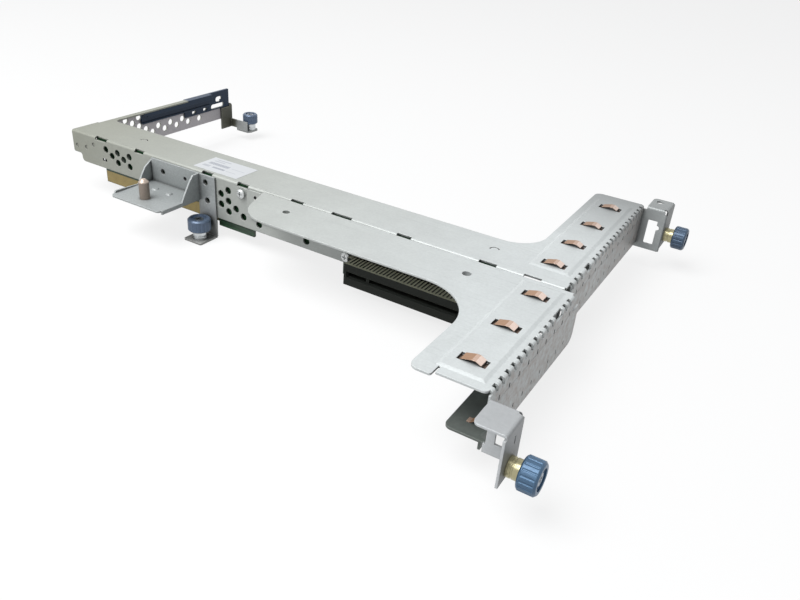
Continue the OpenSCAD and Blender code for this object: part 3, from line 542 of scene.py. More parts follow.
def turned_metal(name, colour, axis, roughness, groove=0.3 * MM, metallic=1.0, tip=None):
    """Metal turned on a lathe: fine rings across its axis catch the light.

    The tip may be painted brighter: it is given as the level of its end and the span that it fades over.
    """
    material, tree, shader, place = new_material(name, roughness=roughness, metallic=metallic)
    along = add(tree, "SeparateXYZ", (place,), axis)
    rings = add(
        tree, "Math", (add(tree, "Math", (along, 2 * math.pi / groove), "Value", operation="MULTIPLY"),),
        "Value", operation="SINE",
    )
    blotch = add(tree, "TexNoise", {"Vector": place, "Scale": 1 / (1.5 * MM), "Detail": 4.0}, "Fac")
    base = add(
        tree, "Mix", {FACTOR: blotch, COLOUR_A: shade(colour, 0.82), COLOUR_B: shade(colour, 1.15)},
        COLOUR_OUT, data_type="RGBA",
    )
    if tip is not None:
        level, span = tip
        fade = add(tree, "MapRange", (along, level - span, level, 0.0, 1.0), "Result")
        base = add(
            tree, "Mix", {FACTOR: fade, COLOUR_A: base, COLOUR_B: shade(colour, 1.9)}, COLOUR_OUT,
            data_type="RGBA",
        )
    # Edges painted brighter: partly wear, partly painted highlight
    mask, soft_normal = worn_and_highlit_edge(tree, 0.25 * MM)
    base = add(
        tree, "Mix",
        {
            FACTOR: add(tree, "Math", (mask, 0.5), "Value", operation="MULTIPLY"),
            COLOUR_A: base,
            COLOUR_B: shade(colour, 1.7),
        },
        COLOUR_OUT, data_type="RGBA",
    )
    tree.links.new(base, shader.inputs["Base Color"])
    relief = add(
        tree, "Bump", {"Height": rings, "Strength": 0.25, "Distance": 0.02 * MM, "Normal": soft_normal},
        "Normal",
    )
    tree.links.new(relief, shader.inputs["Normal"])
    return material


def bright_steel(name, colour, roughness):
    """Machine-cut steel of screws, nuts and rivets: bright, with small tool marks."""
    material, tree, shader, place = new_material(name, metallic=1.0)
    marks = add(
        tree, "TexNoise", {"Vector": place, "Scale": 1 / (0.8 * MM), "Detail": 5.0, "Roughness": 0.7}, "Fac"
    )
    base = add(
        tree, "Mix",
        {FACTOR: marks, COLOUR_A: shade(linear(colour), 0.7), COLOUR_B: shade(linear(colour), 1.1)},
        COLOUR_OUT, data_type="RGBA",
    )
    tree.links.new(base, shader.inputs["Base Color"])
    rough = add(tree, "MapRange", (marks, 0.0, 1.0, roughness - 0.1, roughness + 0.14), "Result")
    tree.links.new(rough, shader.inputs["Roughness"])
    _, soft_normal = worn_and_highlit_edge(tree, 0.2 * MM)
    relief = add(
        tree, "Bump", {"Height": marks, "Strength": 0.15, "Distance": 0.03 * MM, "Normal": soft_normal},
        "Normal",
    )
    tree.links.new(relief, shader.inputs["Normal"])
    return material


def moulded_plastic(name, colour, roughness, edge_highlight_shade, gloss=0.5, dust_and_top_light=0.0, dust_and_light_from=-1.0):
    """Injection-moulded plastic with a spark-eroded skin: even colour, soft gloss, and edges painted paler as
    a highlight.

    What faces up, above a height, is painted paler: partly dust and partly painted light on the tops.
    """
    material, tree, shader, place = new_material(name, roughness=roughness)
    shader.inputs["Specular IOR Level"].default_value = gloss
    cloud = add(tree, "TexNoise", {"Vector": place, "Scale": 1 / (6 * MM), "Detail": 4.0}, "Fac")
    base = add(
        tree, "Mix", {FACTOR: cloud, COLOUR_A: shade(colour, 0.88), COLOUR_B: shade(colour, 1.12)},
        COLOUR_OUT, data_type="RGBA",
    )
    # Edges painted paler: painted highlight
    mask, soft_normal = worn_and_highlit_edge(tree, 0.3 * MM)
    edged = add(
        tree, "Mix",
        {
            FACTOR: add(tree, "Math", (mask, 0.55), "Value", operation="MULTIPLY"),
            COLOUR_A: base,
            COLOUR_B: shade(colour, edge_highlight_shade),
        },
        COLOUR_OUT, data_type="RGBA",
    )
    # Up-facing tops above a height painted paler: partly dust, partly painted light
    height = add(tree, "SeparateXYZ", (place,), "Z")
    exposed = add(tree, "MapRange", (height, dust_and_light_from - 0.2 * MM, dust_and_light_from + 0.2 * MM, 0.0, dust_and_top_light), "Result")
    dusty_and_lit = add(
        tree, "Mix",
        {
            FACTOR: add(
                tree, "Math", (facing(tree, "Z", (0.6, 0.95)), exposed), "Value", operation="MULTIPLY"
            ),
            COLOUR_A: edged,
            COLOUR_B: rgba(linear("#d0ceb6")),
        },
        COLOUR_OUT, data_type="RGBA",
    )
    # Painted shade in corners and hollows, by ambient occlusion
    tree.links.new(painted_corner_shade(tree, dusty_and_lit, 2 * MM, (0.3, 0.85), 0.3), shader.inputs["Base Color"])
    skin = add(tree, "TexNoise", {"Vector": place, "Scale": 1 / (0.6 * sizes().grain), "Detail": 2.0}, "Fac")
    relief = add(
        tree, "Bump", {"Height": skin, "Strength": 0.15, "Distance": 0.04 * MM, "Normal": soft_normal},
        "Normal",
    )
    tree.links.new(relief, shader.inputs["Normal"])
    return material


def knob_enamel(name, colour):
    """Anodised aluminium under a satin blue coat: metallic body, pale worn lobes, edges painted paler as a
    highlight, and deeper flutes.
    """
    material, tree, shader, place = new_material(name, roughness=0.36, metallic=0.35)
    wear = add(
        tree, "TexNoise", {"Vector": place, "Scale": 1 / (1.2 * MM), "Detail": 5.0, "Roughness": 0.6}, "Fac"
    )
    base = add(
        tree, "Mix", {FACTOR: wear, COLOUR_A: shade(colour, 0.8), COLOUR_B: shade(colour, 1.25)}, COLOUR_OUT,
        data_type="RGBA",
    )
    # Edges painted paler: painted highlight
    mask, soft_normal = worn_and_highlit_edge(tree, 0.35 * MM)
    edged = add(
        tree, "Mix",
        {
            FACTOR: add(tree, "Math", (mask, 0.5), "Value", operation="MULTIPLY"),
            COLOUR_A: base,
            COLOUR_B: shade(colour, 2.0),
        },
        COLOUR_OUT, data_type="RGBA",
    )
    tree.links.new(edged, shader.inputs["Base Color"])
    grain = add(tree, "TexNoise", {"Vector": place, "Scale": 1 / (0.3 * MM), "Detail": 2.0}, "Fac")
    relief = add(
        tree, "Bump", {"Height": grain, "Strength": 0.12, "Distance": 0.03 * MM, "Normal": soft_normal},
        "Normal",
    )
    tree.links.new(relief, shader.inputs["Normal"])
    return material


def spring_copper():
    """Rolled copper alloy, brown on its -X flanks and pale on its +X flanks: painted shade and painted light
    on the two sides of each arch.
    """
    material, tree, shader, place = new_material("rolled_copper_alloy", metallic=0.6)
    lines = add(tree, "Mapping", {"Vector": place, "Scale": SPRING_LINES}, "Vector")
    roll = add(tree, "TexNoise", {"Vector": lines, "Scale": 1.0, "Detail": 4.0}, "Fac")
    # Painted light and shade: +X-facing flanks take the pale colour, -X-facing flanks the brown one
    lit_flank = facing(tree, "X", (-0.3, 0.35))
    alloy = add(
        tree, "Mix",
        {FACTOR: lit_flank, COLOUR_A: rgba(colours().copper), COLOUR_B: rgba(colours().copper_lit_flank)},
        COLOUR_OUT, data_type="RGBA",
    )
    base = add(
        tree, "VectorMath",
        {0: alloy, "Scale": add(tree, "MapRange", (roll, 0.3, 0.7, 0.88, 1.08), "Result")}, "Vector",
        operation="SCALE",
    )
    # Painted shade: darker towards the far side
    across = add(tree, "SeparateXYZ", (place,), "Y")
    low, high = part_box("main_frame")
    base = add(
        tree, "VectorMath",
        {0: base, "Scale": add(tree, "MapRange", (across, low.y, high.y, 1.0, 0.7), "Result")}, "Vector",
        operation="SCALE",
    )
    # Painted shade: slots and the feet of the arches darkened strongly by ambient occlusion
    tree.links.new(painted_corner_shade(tree, base, 3 * MM, (0.5, 0.95), 0.12), shader.inputs["Base Color"])
    tree.links.new(add(tree, "MapRange", (roll, 0.0, 1.0, 0.26, 0.44), "Result"), shader.inputs["Roughness"])
    _, soft_normal = worn_and_highlit_edge(tree, 0.3 * MM)
    relief = add(
        tree, "Bump", {"Height": roll, "Strength": 0.1, "Distance": 0.02 * MM, "Normal": soft_normal},
        "Normal",
    )
    tree.links.new(relief, shader.inputs["Normal"])
    return material


def solder_mask():
    """Glass-epoxy laminate under green solder mask: raised copper traces show as paler lines, with vias."""
    material, tree, shader, place = new_material("solder_masked_laminate", roughness=0.32)
    pitch = sizes().trace_pitch
    wander = add(tree, "TexNoise", {"Vector": place, "Scale": 1 / (16 * MM), "Detail": 0.0}, "Fac")
    up = add(tree, "SeparateXYZ", (place,), "Z")
    # Traces run along the board and step aside together
    stepped = add(tree, "Math", (wander, 6.0), "Value", operation="MULTIPLY")
    stepped = add(tree, "Math", (stepped,), "Value", operation="ROUND")
    shifted = add(tree, "Math", (stepped, pitch * 0.5, up), "Value", operation="MULTIPLY_ADD")
    saw = add(tree, "Math", (shifted, pitch), "Value", operation="PINGPONG")
    trace = add(tree, "MapRange", (saw, pitch * 0.62, pitch * 0.68, 0.0, 1.0), "Result")
    via = add(
        tree, "TexVoronoi", {"Vector": place, "Scale": 1 / (5 * MM), "Randomness": 0.9}, "Distance",
        feature="F1",
    )
    dot = add(tree, "MapRange", (via, 0.10, 0.08, 0.0, 1.0), "Result")
    base = add(
        tree, "Mix", {FACTOR: trace, COLOUR_A: rgba(colours().board), COLOUR_B: shade(colours().board, 1.7)},
        COLOUR_OUT, data_type="RGBA",
    )
    base = add(
        tree, "Mix", {FACTOR: dot, COLOUR_A: base, COLOUR_B: rgba(linear("#8d8a5c"))}, COLOUR_OUT,
        data_type="RGBA",
    )
    tree.links.new(base, shader.inputs["Base Color"])
    height = add(tree, "Math", (trace, dot), "Value", operation="MAXIMUM")
    relief = add(tree, "Bump", {"Height": height, "Strength": 0.4, "Distance": 0.04 * MM}, "Normal")
    tree.links.new(relief, shader.inputs["Normal"])
    return material


def contact_gold():
    """Hard gold over nickel, in fingers: gold strips with the dark laminate between them."""
    material, tree, shader, place = new_material("gold_contact_fingers")
    pitch = sizes().contact_pitch
    along = add(tree, "SeparateXYZ", (place,), "X")
    saw = add(tree, "Math", (along, pitch / 2), "Value", operation="PINGPONG")
    finger = add(tree, "MapRange", (saw, pitch * 0.10, pitch * 0.16, 0.0, 1.0), "Result")
    smear = add(tree, "TexNoise", {"Vector": place, "Scale": 1 / (4 * MM), "Detail": 4.0}, "Fac")
    metal = add(
        tree, "Mix",
        {FACTOR: smear, COLOUR_A: shade(colours().gold, 0.7), COLOUR_B: shade(colours().gold, 1.15)},
        COLOUR_OUT, data_type="RGBA",
    )
    base = add(
        tree, "Mix", {FACTOR: finger, COLOUR_A: rgba(linear("#5a4a26")), COLOUR_B: metal}, COLOUR_OUT,
        data_type="RGBA",
    )
    tree.links.new(base, shader.inputs["Base Color"])
    sheen = add(tree, "MapRange", (finger, 0.0, 1.0, 0.1, 0.85), "Result")
    tree.links.new(sheen, shader.inputs["Metallic"])
    rough = add(tree, "MapRange", (smear, 0.0, 1.0, 0.25, 0.42), "Result")
    tree.links.new(rough, shader.inputs["Roughness"])
    relief = add(tree, "Bump", {"Height": finger, "Strength": 0.5, "Distance": 0.04 * MM}, "Normal")
    tree.links.new(relief, shader.inputs["Normal"])
    return material


def gold_flash():
    """Gold flash on the sockets' tongues: small, bright and warm."""
    material, tree, shader, place = new_material("gold_tongue", roughness=0.28, metallic=1.0)
    tone = add(tree, "TexNoise", {"Vector": place, "Scale": 1 / (2 * MM), "Detail": 3.0}, "Fac")
    base = add(
        tree, "Mix",
        {FACTOR: tone, COLOUR_A: shade(colours().gold, 0.8), COLOUR_B: shade(colours().gold, 1.2)},
        COLOUR_OUT, data_type="RGBA",
    )
    tree.links.new(base, shader.inputs["Base Color"])
    return material


# Printed fields as shares of the sticker's length and width: left, right, bottom and top, then a block's ink
RULED_FIELD = (0.10, 0.56, 0.46, 0.62)
RULING = 150.0  # radians of the ruled bars' wave along the sticker
INK_BLOCKS = (
    (0.12, 0.45, 0.84, 0.89, 0.40), (0.12, 0.36, 0.72, 0.77, 0.40), (0.30, 0.58, 0.24, 0.34, 0.60),
    (0.08, 0.24, 0.22, 0.36, 0.35), (0.62, 0.92, 0.52, 0.56, 0.25), (0.62, 0.84, 0.26, 0.30, 0.25),
)


def label_paper():
    """Satin polypropylene sticker: white, with ruled grey fields and no lettering."""
    material, tree, shader, place = new_material("sticker_film", roughness=0.42)
    low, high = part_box("label")
    size = high - low
    # Places on the sticker from 0 to 1 along its length and its width
    centred = add(
        tree, "Mapping",
        {
            "Vector": place,
            "Location": (-low.x / size.x, -low.y / size.y, 0.0),
            "Scale": (1 / size.x, 1 / size.y, 1.0),
        },
        "Vector",
    )
    parts = add(tree, "SeparateXYZ", (centred,))
    u, v = parts.outputs["X"], parts.outputs["Y"]

    def field(left, right, bottom, top):
        """1 inside a rectangle of the sticker, 0 outside it."""
        tests = [
            add(tree, "Math", (value, limit), "Value", operation=side)
            for value, limits in ((u, (left, right)), (v, (bottom, top)))
            for side, limit in zip(("GREATER_THAN", "LESS_THAN"), limits)
        ]
        inside = tests[0]
        for test in tests[1:]:
            inside = add(tree, "Math", (inside, test), "Value", operation="MULTIPLY")
        return inside

    ink = rgba(linear("#7d8292"))
    bars = add(
        tree, "Math", (add(tree, "Math", (u, RULING), "Value", operation="MULTIPLY"),), "Value",
        operation="SINE",
    )
    ruled = add(
        tree, "Math", (field(*RULED_FIELD), add(tree, "MapRange", (bars, -0.2, 0.2, 0.35, 1.0), "Result")),
        "Value", operation="MULTIPLY",
    )
    printed = add(
        tree, "Mix",
        {
            FACTOR: add(tree, "Math", (ruled, 0.75), "Value", operation="MULTIPLY"),
            COLOUR_A: rgba(linear("#d3d6d9")),
            COLOUR_B: ink,
        },
        COLOUR_OUT, data_type="RGBA",
    )
    for *corners, depth in INK_BLOCKS:
        printed = add(
            tree, "Mix",
            {
                FACTOR: add(tree, "Math", (field(*corners), depth), "Value", operation="MULTIPLY"),
                COLOUR_A: printed,
                COLOUR_B: ink,
            },
            COLOUR_OUT, data_type="RGBA",
        )
    tree.links.new(printed, shader.inputs["Base Color"])
    pulp = add(tree, "TexNoise", {"Vector": place, "Scale": 1 / (0.4 * MM), "Detail": 2.0}, "Fac")
    relief = add(tree, "Bump", {"Height": pulp, "Strength": 0.08, "Distance": 0.02 * MM}, "Normal")
    tree.links.new(relief, shader.inputs["Normal"])
    return material


# ---------- pieces ----------


def piece_from(name, mesh_maker, material, slot, *details):
    """Makes a piece with bmesh, gives it its finish and lets it ride on the cage."""
    shape = bmesh.new()
    mesh_maker(shape, *details)
    bmesh.ops.recalc_face_normals(shape, faces=shape.faces)
    mesh = bpy.data.meshes.new(name)
    shape.to_mesh(mesh)
    shape.free()
    item = bpy.data.objects.new(name, mesh)
    bpy.context.scene.collection.objects.link(item)
    item.data.materials.append(material)
    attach(item, CAGE)
    return item


def block(shape, low, high, round_by=0.0, segments=1):
    """A box between two corners with its edges rounded."""
    place = Matrix.Translation((low + high) / 2)
    made = bmesh.ops.create_cube(shape, size=1.0, matrix=place @ Matrix.Diagonal((*(high - low), 1.0)))
    if round_by:
        edges = list({edge for vert in made["verts"] for edge in vert.link_edges})
        bmesh.ops.bevel(
            shape, geom=edges, offset=round_by, offset_type="OFFSET", segments=segments, profile=0.5,
            affect="EDGES", clamp_overlap=True, material=-1,
        )


# Chips on the board's far face: place along the board and up from its lowest corner, width and height, in mm
CHIPS = (
    (22.0, 14.5, 6.0, 5.0), (47.0, 13.0, 9.0, 9.0), (72.0, 15.5, 5.0, 4.0),
    (121.0, 14.0, 12.0, 8.0), (150.0, 20.0, 5.0, 4.0), (171.0, 15.0, 6.0, 5.0),
)
CHIP_THICK = 1.3
CHIP_GAP = 0.1

# A chip's lead, in three steps: how far out of the body's edge and how high off the board each one is, in mm
LEG_STEPS = ((-0.1, 0.5, 0.45, 0.65), (0.45, 1.1, 0.0, 0.2), (0.3, 0.5, 0.0, 0.6))
LEG_PITCH = 1.27
LEG_HALF = 0.2 * MM

# Rows of small resistors and capacitors: place of the first one along the board, how many, and height, in mm
PASSIVE_ROWS = (
    (14.0, 4, 9.5), (44.0, 5, 9.3), (62.0, 3, 19.5), (88.0, 6, 12.0), (88.0, 6, 15.5), (138.0, 4, 17.5),
)
PASSIVE_PITCH = 3.1
PASSIVE_SIZE = (1.6 * MM, 0.8 * MM, 0.6 * MM)
PASSIVE_END = 0.32 * MM
PASSIVE_PLATING = 0.02 * MM  # how far a metal end stands out from the body


def board_face():
    """Lowest corner of the board's far face, and the face's place across the board."""
    low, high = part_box("riser_board")
    return low.x, low.z, high.y


def make_chip_bodies(shape):
    x0, z0, y = board_face()
    for along, up, width, height in CHIPS:
        low = Vector((x0 + along * MM, y + CHIP_GAP * MM, z0 + up * MM))
        size = Vector((width * MM, CHIP_THICK * MM, height * MM))
        block(shape, low, low + size, 0.2 * MM, 2)


def make_chip_legs(shape):
    x0, z0, y = board_face()
    for along, up, width, height in CHIPS:
        count = int(width / LEG_PITCH)
        start = along + (width - (count - 1) * LEG_PITCH) / 2
        for i in range(count):
            x = x0 + (start + i * LEG_PITCH) * MM
            for edge_z, out in ((z0 + up * MM, -1), (z0 + (up + height) * MM, 1)):
                for near, far, foot, top in LEG_STEPS:
                    lower, upper = sorted((edge_z + out * near * MM, edge_z + out * far * MM))
                    low = Vector((x - LEG_HALF, y + foot * MM, lower))
                    block(shape, low, Vector((x + LEG_HALF, y + top * MM, upper)), 0.04 * MM)


def passive_places():
    """Lowest corners of the small resistors and capacitors."""
    x0, z0, y = board_face()
    for start, count, up in PASSIVE_ROWS:
        for i in range(count):
            yield Vector((x0 + (start + i * PASSIVE_PITCH) * MM, y, z0 + up * MM))


def make_passive_bodies(shape):
    length, width, height = PASSIVE_SIZE
    inset = 0.3 * MM
    for low in passive_places():
        block(shape, low + Vector((inset, 0, 0)), low + Vector((length - inset, height, width)), 0.08 * MM)


def make_passive_ends(shape):
    length, width, height = PASSIVE_SIZE
    for low in passive_places():
        for start in (0, length - PASSIVE_END):
            block(
                shape, low + Vector((start, 0, -PASSIVE_PLATING)),
                low + Vector((start + PASSIVE_END, height + PASSIVE_PLATING, width + PASSIVE_PLATING)),
                0.08 * MM,
            )


def card_plane(socket):
    """Height of a socket's card plane: its sides are equally far above and below it, its latch post aside."""
    low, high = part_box(socket)
    return (low.z + high.z) / 2


# Rows of solder points where a socket's pins come through the board: distances up from its card plane, in mm
SOLDER_ROWS = {"near_slot_connector": (-3.4, -5.2), "far_slot_connector": (7.6, 9.4)}


def make_solder_points(shape):
    """Two rows of flat solder domes on each socket's back."""
    board_low, board_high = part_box("riser_board")
    pitch = sizes().socket_pitch
    dome = Matrix.Diagonal((1.0, 0.7, 1.0, 1.0))
    for socket, y in (("near_slot_connector", board_high.y), ("far_slot_connector", board_low.y)):
        low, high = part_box(socket)
        for i in range(int((high.x - low.x) / pitch) - 2):
            for row in SOLDER_ROWS[socket]:
                place = Matrix.Translation((low.x + (i + 1.7) * pitch, y, card_plane(socket) + row * MM))
                bmesh.ops.create_icosphere(shape, subdivisions=1, radius=0.55 * MM, matrix=place @ dome)


# Contact tongues of a card socket, in mm: the first one's place, the length without tongues, how far each
# one is from the card plane on its inner and outer side, how deep behind the mouth, and half its width
TONGUES_START = 4.4
TONGUES_BARE = 6
TONGUE_SIDES = (0.42, 0.86)
TONGUE_DEPTHS = (4.8, 7.6)
TONGUE_HALF = 0.35

# A socket's moulding, in mm: its length, the place of its key along it, and half of what the key keeps bare
SOCKET_LENGTH = 89
KEY_PLACE = 13.9
KEY_HALF = 1.6


def make_socket_tongues(shape):
    """Contact tongues along both sides of each socket's card slot, apart from its key."""
    for socket, way in (("near_slot_connector", -1), ("far_slot_connector", 1)):
        low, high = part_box(socket)
        mouth = low.y if way < 0 else high.y
        front, back = sorted(mouth - way * depth * MM for depth in TONGUE_DEPTHS)
        key = high.x - SOCKET_LENGTH * MM + KEY_PLACE * MM
        for i in range(int((high.x - low.x - TONGUES_BARE * MM) / sizes().socket_pitch)):
            x = low.x + TONGUES_START * MM + i * sizes().socket_pitch
            if abs(x - key) < KEY_HALF * MM:
                continue
            for side in (-1, 1):
                inner, outer = sorted(card_plane(socket) + side * reach * MM for reach in TONGUE_SIDES)
                block(
                    shape, Vector((x - TONGUE_HALF * MM, front, inner)),
                    Vector((x + TONGUE_HALF * MM, back, outer)), 0.15 * MM, 2,
                )


SPRING_TURNS = 3.5
SPRING_STEPS = 20  # of one turn
SPRING_WIRE = 0.3 * MM  # radius of the wire


def spring_ends(name):
    """The two ends of a return spring's axis, foot first, and its outer radius."""
    low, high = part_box(name + "_spring")
    middle = (low + high) / 2
    if name in ("near", "far"):
        return Vector((low.x, middle.y, middle.z)), Vector((high.x, middle.y, middle.z)), (high.y - low.y) / 2
    return Vector((middle.x, middle.y, low.z)), Vector((middle.x, middle.y, high.z)), (high.y - low.y) / 2


def make_return_spring(shape, name):
    """Round wire spun up into a helix between the ferrule's rim and the knob's web."""
    foot, top, radius = spring_ends(name)
    axis = (top - foot).normalized()
    side = axis.orthogonal().normalized()
    coil = radius - SPRING_WIRE
    start = foot + axis * SPRING_WIRE + side * coil
    across = Matrix((side, axis, side.cross(axis))).transposed().to_4x4()
    wire = bmesh.ops.create_circle(
        shape, cap_ends=True, segments=8, radius=SPRING_WIRE, matrix=Matrix.Translation(start) @ across
    )
    steps = int(SPRING_TURNS * SPRING_STEPS)
    climb = ((top - foot).length - 2 * SPRING_WIRE) / steps
    rim = wire["verts"]
    edges = list({edge for vert in rim for edge in vert.link_edges})
    faces = list({face for vert in rim for face in vert.link_faces})
    bmesh.ops.spin(
        shape, geom=rim + edges + faces, cent=foot, axis=axis, dvec=axis * climb,
        angle=math.tau * SPRING_TURNS, steps=steps,
    )


# ---------- operators ----------


class RISERCAGE_OT_sheet_metal(bpy.types.Operator):
    """Finishes the frame, the wing, the covers and the bright brackets as zinc-plated sheet"""

    bl_idname = "riser_cage.sheet_metal"
    bl_label = "Sheet Metal"

    def execute(self, context):
        pale = plated_sheet("zinc_plated_sheet", frame_tint, 0.2, linear("#9fa4a4"), 0.25)
        finish_node(pale, "main_frame", "near_wing", "near_slot_cover", "far_slot_cover")
        cool = plated_sheet("cool_zinc_sheet", shelf_tint, 0.25, linear("#8c9090"), 0.3)
        finish_node(cool, "side_shelf_bracket")
        grey = plated_sheet("grey_steel_sheet", bracket_tint, 0.3, linear("#7c8080"), 0.3)
        finish_node(grey, "near_end_bracket", "far_end_bracket")
        olive = plated_sheet("olive_steel_sheet", arm_bracket_tint, 0.3, linear("#4c4e48"), 0.3)
        finish_node(olive, "arm_end_bracket")
        return {"FINISHED"}


class RISERCAGE_OT_dark_sheet(bpy.types.Operator):
    """Finishes the slot shelves as dark sheet, its darkness partly painted shade"""

    bl_idname = "riser_cage.dark_sheet"
    bl_label = "Dark Sheet"

    def execute(self, context):
        finish_node(dark_sheet(), "near_slot_shelf", "far_slot_shelf")
        return {"FINISHED"}


class RISERCAGE_OT_guide_pin(bpy.types.Operator):
    """Finishes the guide pin as turned steel, brighter towards its tip"""

    bl_idname = "riser_cage.guide_pin"
    bl_label = "Guide Pin"

    def execute(self, context):
        tip = (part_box("guide_pin")[1].z, 2.5 * MM)
        steel = turned_metal("turned_guide_pin", colours().pin, "Z", 0.42, 0.5 * MM, metallic=0.6, tip=tip)
        finish_node(steel, "guide_pin")
        return {"FINISHED"}


class RISERCAGE_OT_card_guide(bpy.types.Operator):
    """Finishes the card guide as moulded navy plastic"""

    bl_idname = "riser_cage.card_guide"
    bl_label = "Card Guide"

    def execute(self, context):
        navy = moulded_plastic("moulded_navy_nylon", colours().guide, 0.34, 2.2, gloss=0.25)
        finish_node(navy, "card_guide")
        return {"FINISHED"}


class RISERCAGE_OT_board(bpy.types.Operator):
    """Finishes the riser board and its edge contacts, and adds the small parts on its far face"""

    bl_idname = "riser_cage.board"
    bl_label = "Riser Board"

    def execute(self, context):
        finish_node(solder_mask(), "riser_board")
        finish_node(contact_gold(), "edge_contacts")
        epoxy = moulded_plastic("chip_epoxy", linear("#26282a"), 0.5, 1.6)
        tin = bright_steel("tinned_lead", "#c4c6c4", 0.3)
        ceramic = moulded_plastic("capacitor_ceramic", linear("#a08a6c"), 0.4, 1.2)
        piece_from("board_chips", make_chip_bodies, epoxy, "black_plastic")
        piece_from("board_chip_legs", make_chip_legs, tin, "bright_steel")
        piece_from("board_capacitors", make_passive_bodies, ceramic, "board_laminate")
        piece_from("board_capacitor_ends", make_passive_ends, tin, "bright_steel")
        piece_from("board_solder_points", make_solder_points, tin, "bright_steel")
        return {"FINISHED"}


class RISERCAGE_OT_sockets(bpy.types.Operator):
    """Finishes the card sockets and adds the tongues in their card slots"""

    bl_idname = "riser_cage.sockets"
    bl_label = "Card Sockets"

    def execute(self, context):
        for name in ("near_slot_connector", "far_slot_connector"):
            low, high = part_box(name)
            rim = low.z + 0.7 * (high.z - low.z)
            black = moulded_plastic(
                name + "_moulded_black", colours().socket, 0.42, 5.0, gloss=0.12, dust_and_top_light=0.95, dust_and_light_from=rim
            )
            finish_node(black, name)
        piece_from("socket_tongues", make_socket_tongues, gold_flash(), "gold")
        return {"FINISHED"}


class RISERCAGE_OT_contact_springs(bpy.types.Operator):
    """Finishes the contact springs of both T plates and both slot shelves"""

    bl_idname = "riser_cage.contact_springs"
    bl_label = "Contact Springs"

    def execute(self, context):
        names = [n for n in NODES if "contact_spring" in n or n.endswith("shelf_springs")]
        finish_node(spring_copper(), *names)
        return {"FINISHED"}


class RISERCAGE_OT_fasteners(bpy.types.Operator):
    """Finishes the board's screws, nuts and spacers, and the rivets"""

    bl_idname = "riser_cage.fasteners"
    bl_label = "Fasteners"

    def execute(self, context):
        finish_node(bright_steel("fastener_steel", "#d4d7d7", 0.4), "board_screws", "board_nuts", "rivets")
        finish_node(turned_metal("turned_brass_spacer", linear("#b89a5e"), "Y", 0.3), "board_spacers")
        return {"FINISHED"}


class RISERCAGE_OT_thumbscrews(bpy.types.Operator):
    """Finishes the four captive thumbscrews: knobs, screws, rings, ferrules and return springs"""

    bl_idname = "riser_cage.thumbscrews"
    bl_label = "Thumbscrews"

    def execute(self, context):
        steel = bright_steel("screw_steel", "#a9b0b8", 0.3)
        wire = bright_steel("spring_wire", "#b4b6b8", 0.28)
        slate = knob_enamel("slate_anodised_knob", colours().slate_knob)
        knobs = {
            "near": knob_enamel("blue_anodised_knob", colours().near_knob),
            "far": knob_enamel("dull_blue_anodised_knob", colours().far_knob),
        }
        for name in ("near", "far", "middle", "arm"):
            axis = "X" if name in ("near", "far") else "Z"
            colour = colours().ferrule if axis == "X" else linear("#c8ccce")
            finish_node(
                turned_metal(name + "_turned_ferrule", colour, axis, 0.3, 0.6 * MM), name + "_ferrule"
            )
            finish_node(knobs.get(name, slate), name + "_knob")
            finish_node(steel, name + "_screw", name + "_ring")
            spring = piece_from(name + "_return_spring", make_return_spring, wire, "spring_steel", name)
            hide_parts(name + "_spring")
            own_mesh(spring)
        return {"FINISHED"}


class RISERCAGE_OT_label(bpy.types.Operator):
    """Finishes the sticker with ruled grey fields and no lettering"""

    bl_idname = "riser_cage.label"
    bl_label = "Sticker"

    def execute(self, context):
        finish_node(label_paper(), "label")
        return {"FINISHED"}


WHITE = linear("#ffffff")
FLOOR_REACH = 12.0  # metres to each side
FLOOR_BOUNCE = (0.4, 0.4, 0.4)
FLOOR_GLOW = 0.8

WORLD_COLOUR = (0.93, 0.96, 1.0)
WORLD_STRENGTH = 0.27

# Lamps: place from the cage's middle, side of the square, in metres, and watts
LAMPS = (
    ("key", Vector((-0.25, -0.5, 1.05)), 0.8, 13.5),
    ("fill", Vector((-0.9, -0.8, 0.7)), 0.9, 2.6),
)

# The camera's azimuth, elevation and roll in degrees, and its place in the frame
CAMERA_ANGLES = (28.614, 29.853, -4.884)
CAMERA_PLACE = Vector((316.89, -272.53, 172.59)) * MM


class RISERCAGE_OT_stage(bpy.types.Operator):
    """Makes the floor, the lights, the world and the camera"""

    bl_idname = "riser_cage.stage"
    bl_label = "Stage"

    def execute(self, context):
        make_floor()
        make_world()
        make_lights()
        make_camera()
        context.scene.view_settings.view_transform = "Standard"
        return {"FINISHED"}


def seen_directly(tree):
    """1 for what the camera sees, also by gloss or through glass, so that metal shows the pale backdrop."""
    path = add(tree, "LightPath")
    either = add(
        tree, "Math", (path.outputs["Is Camera Ray"], path.outputs["Is Glossy Ray"]), "Value",
        operation="MAXIMUM",
    )
    return add(tree, "Math", (either, path.outputs["Is Transmission Ray"]), "Value", operation="MAXIMUM")


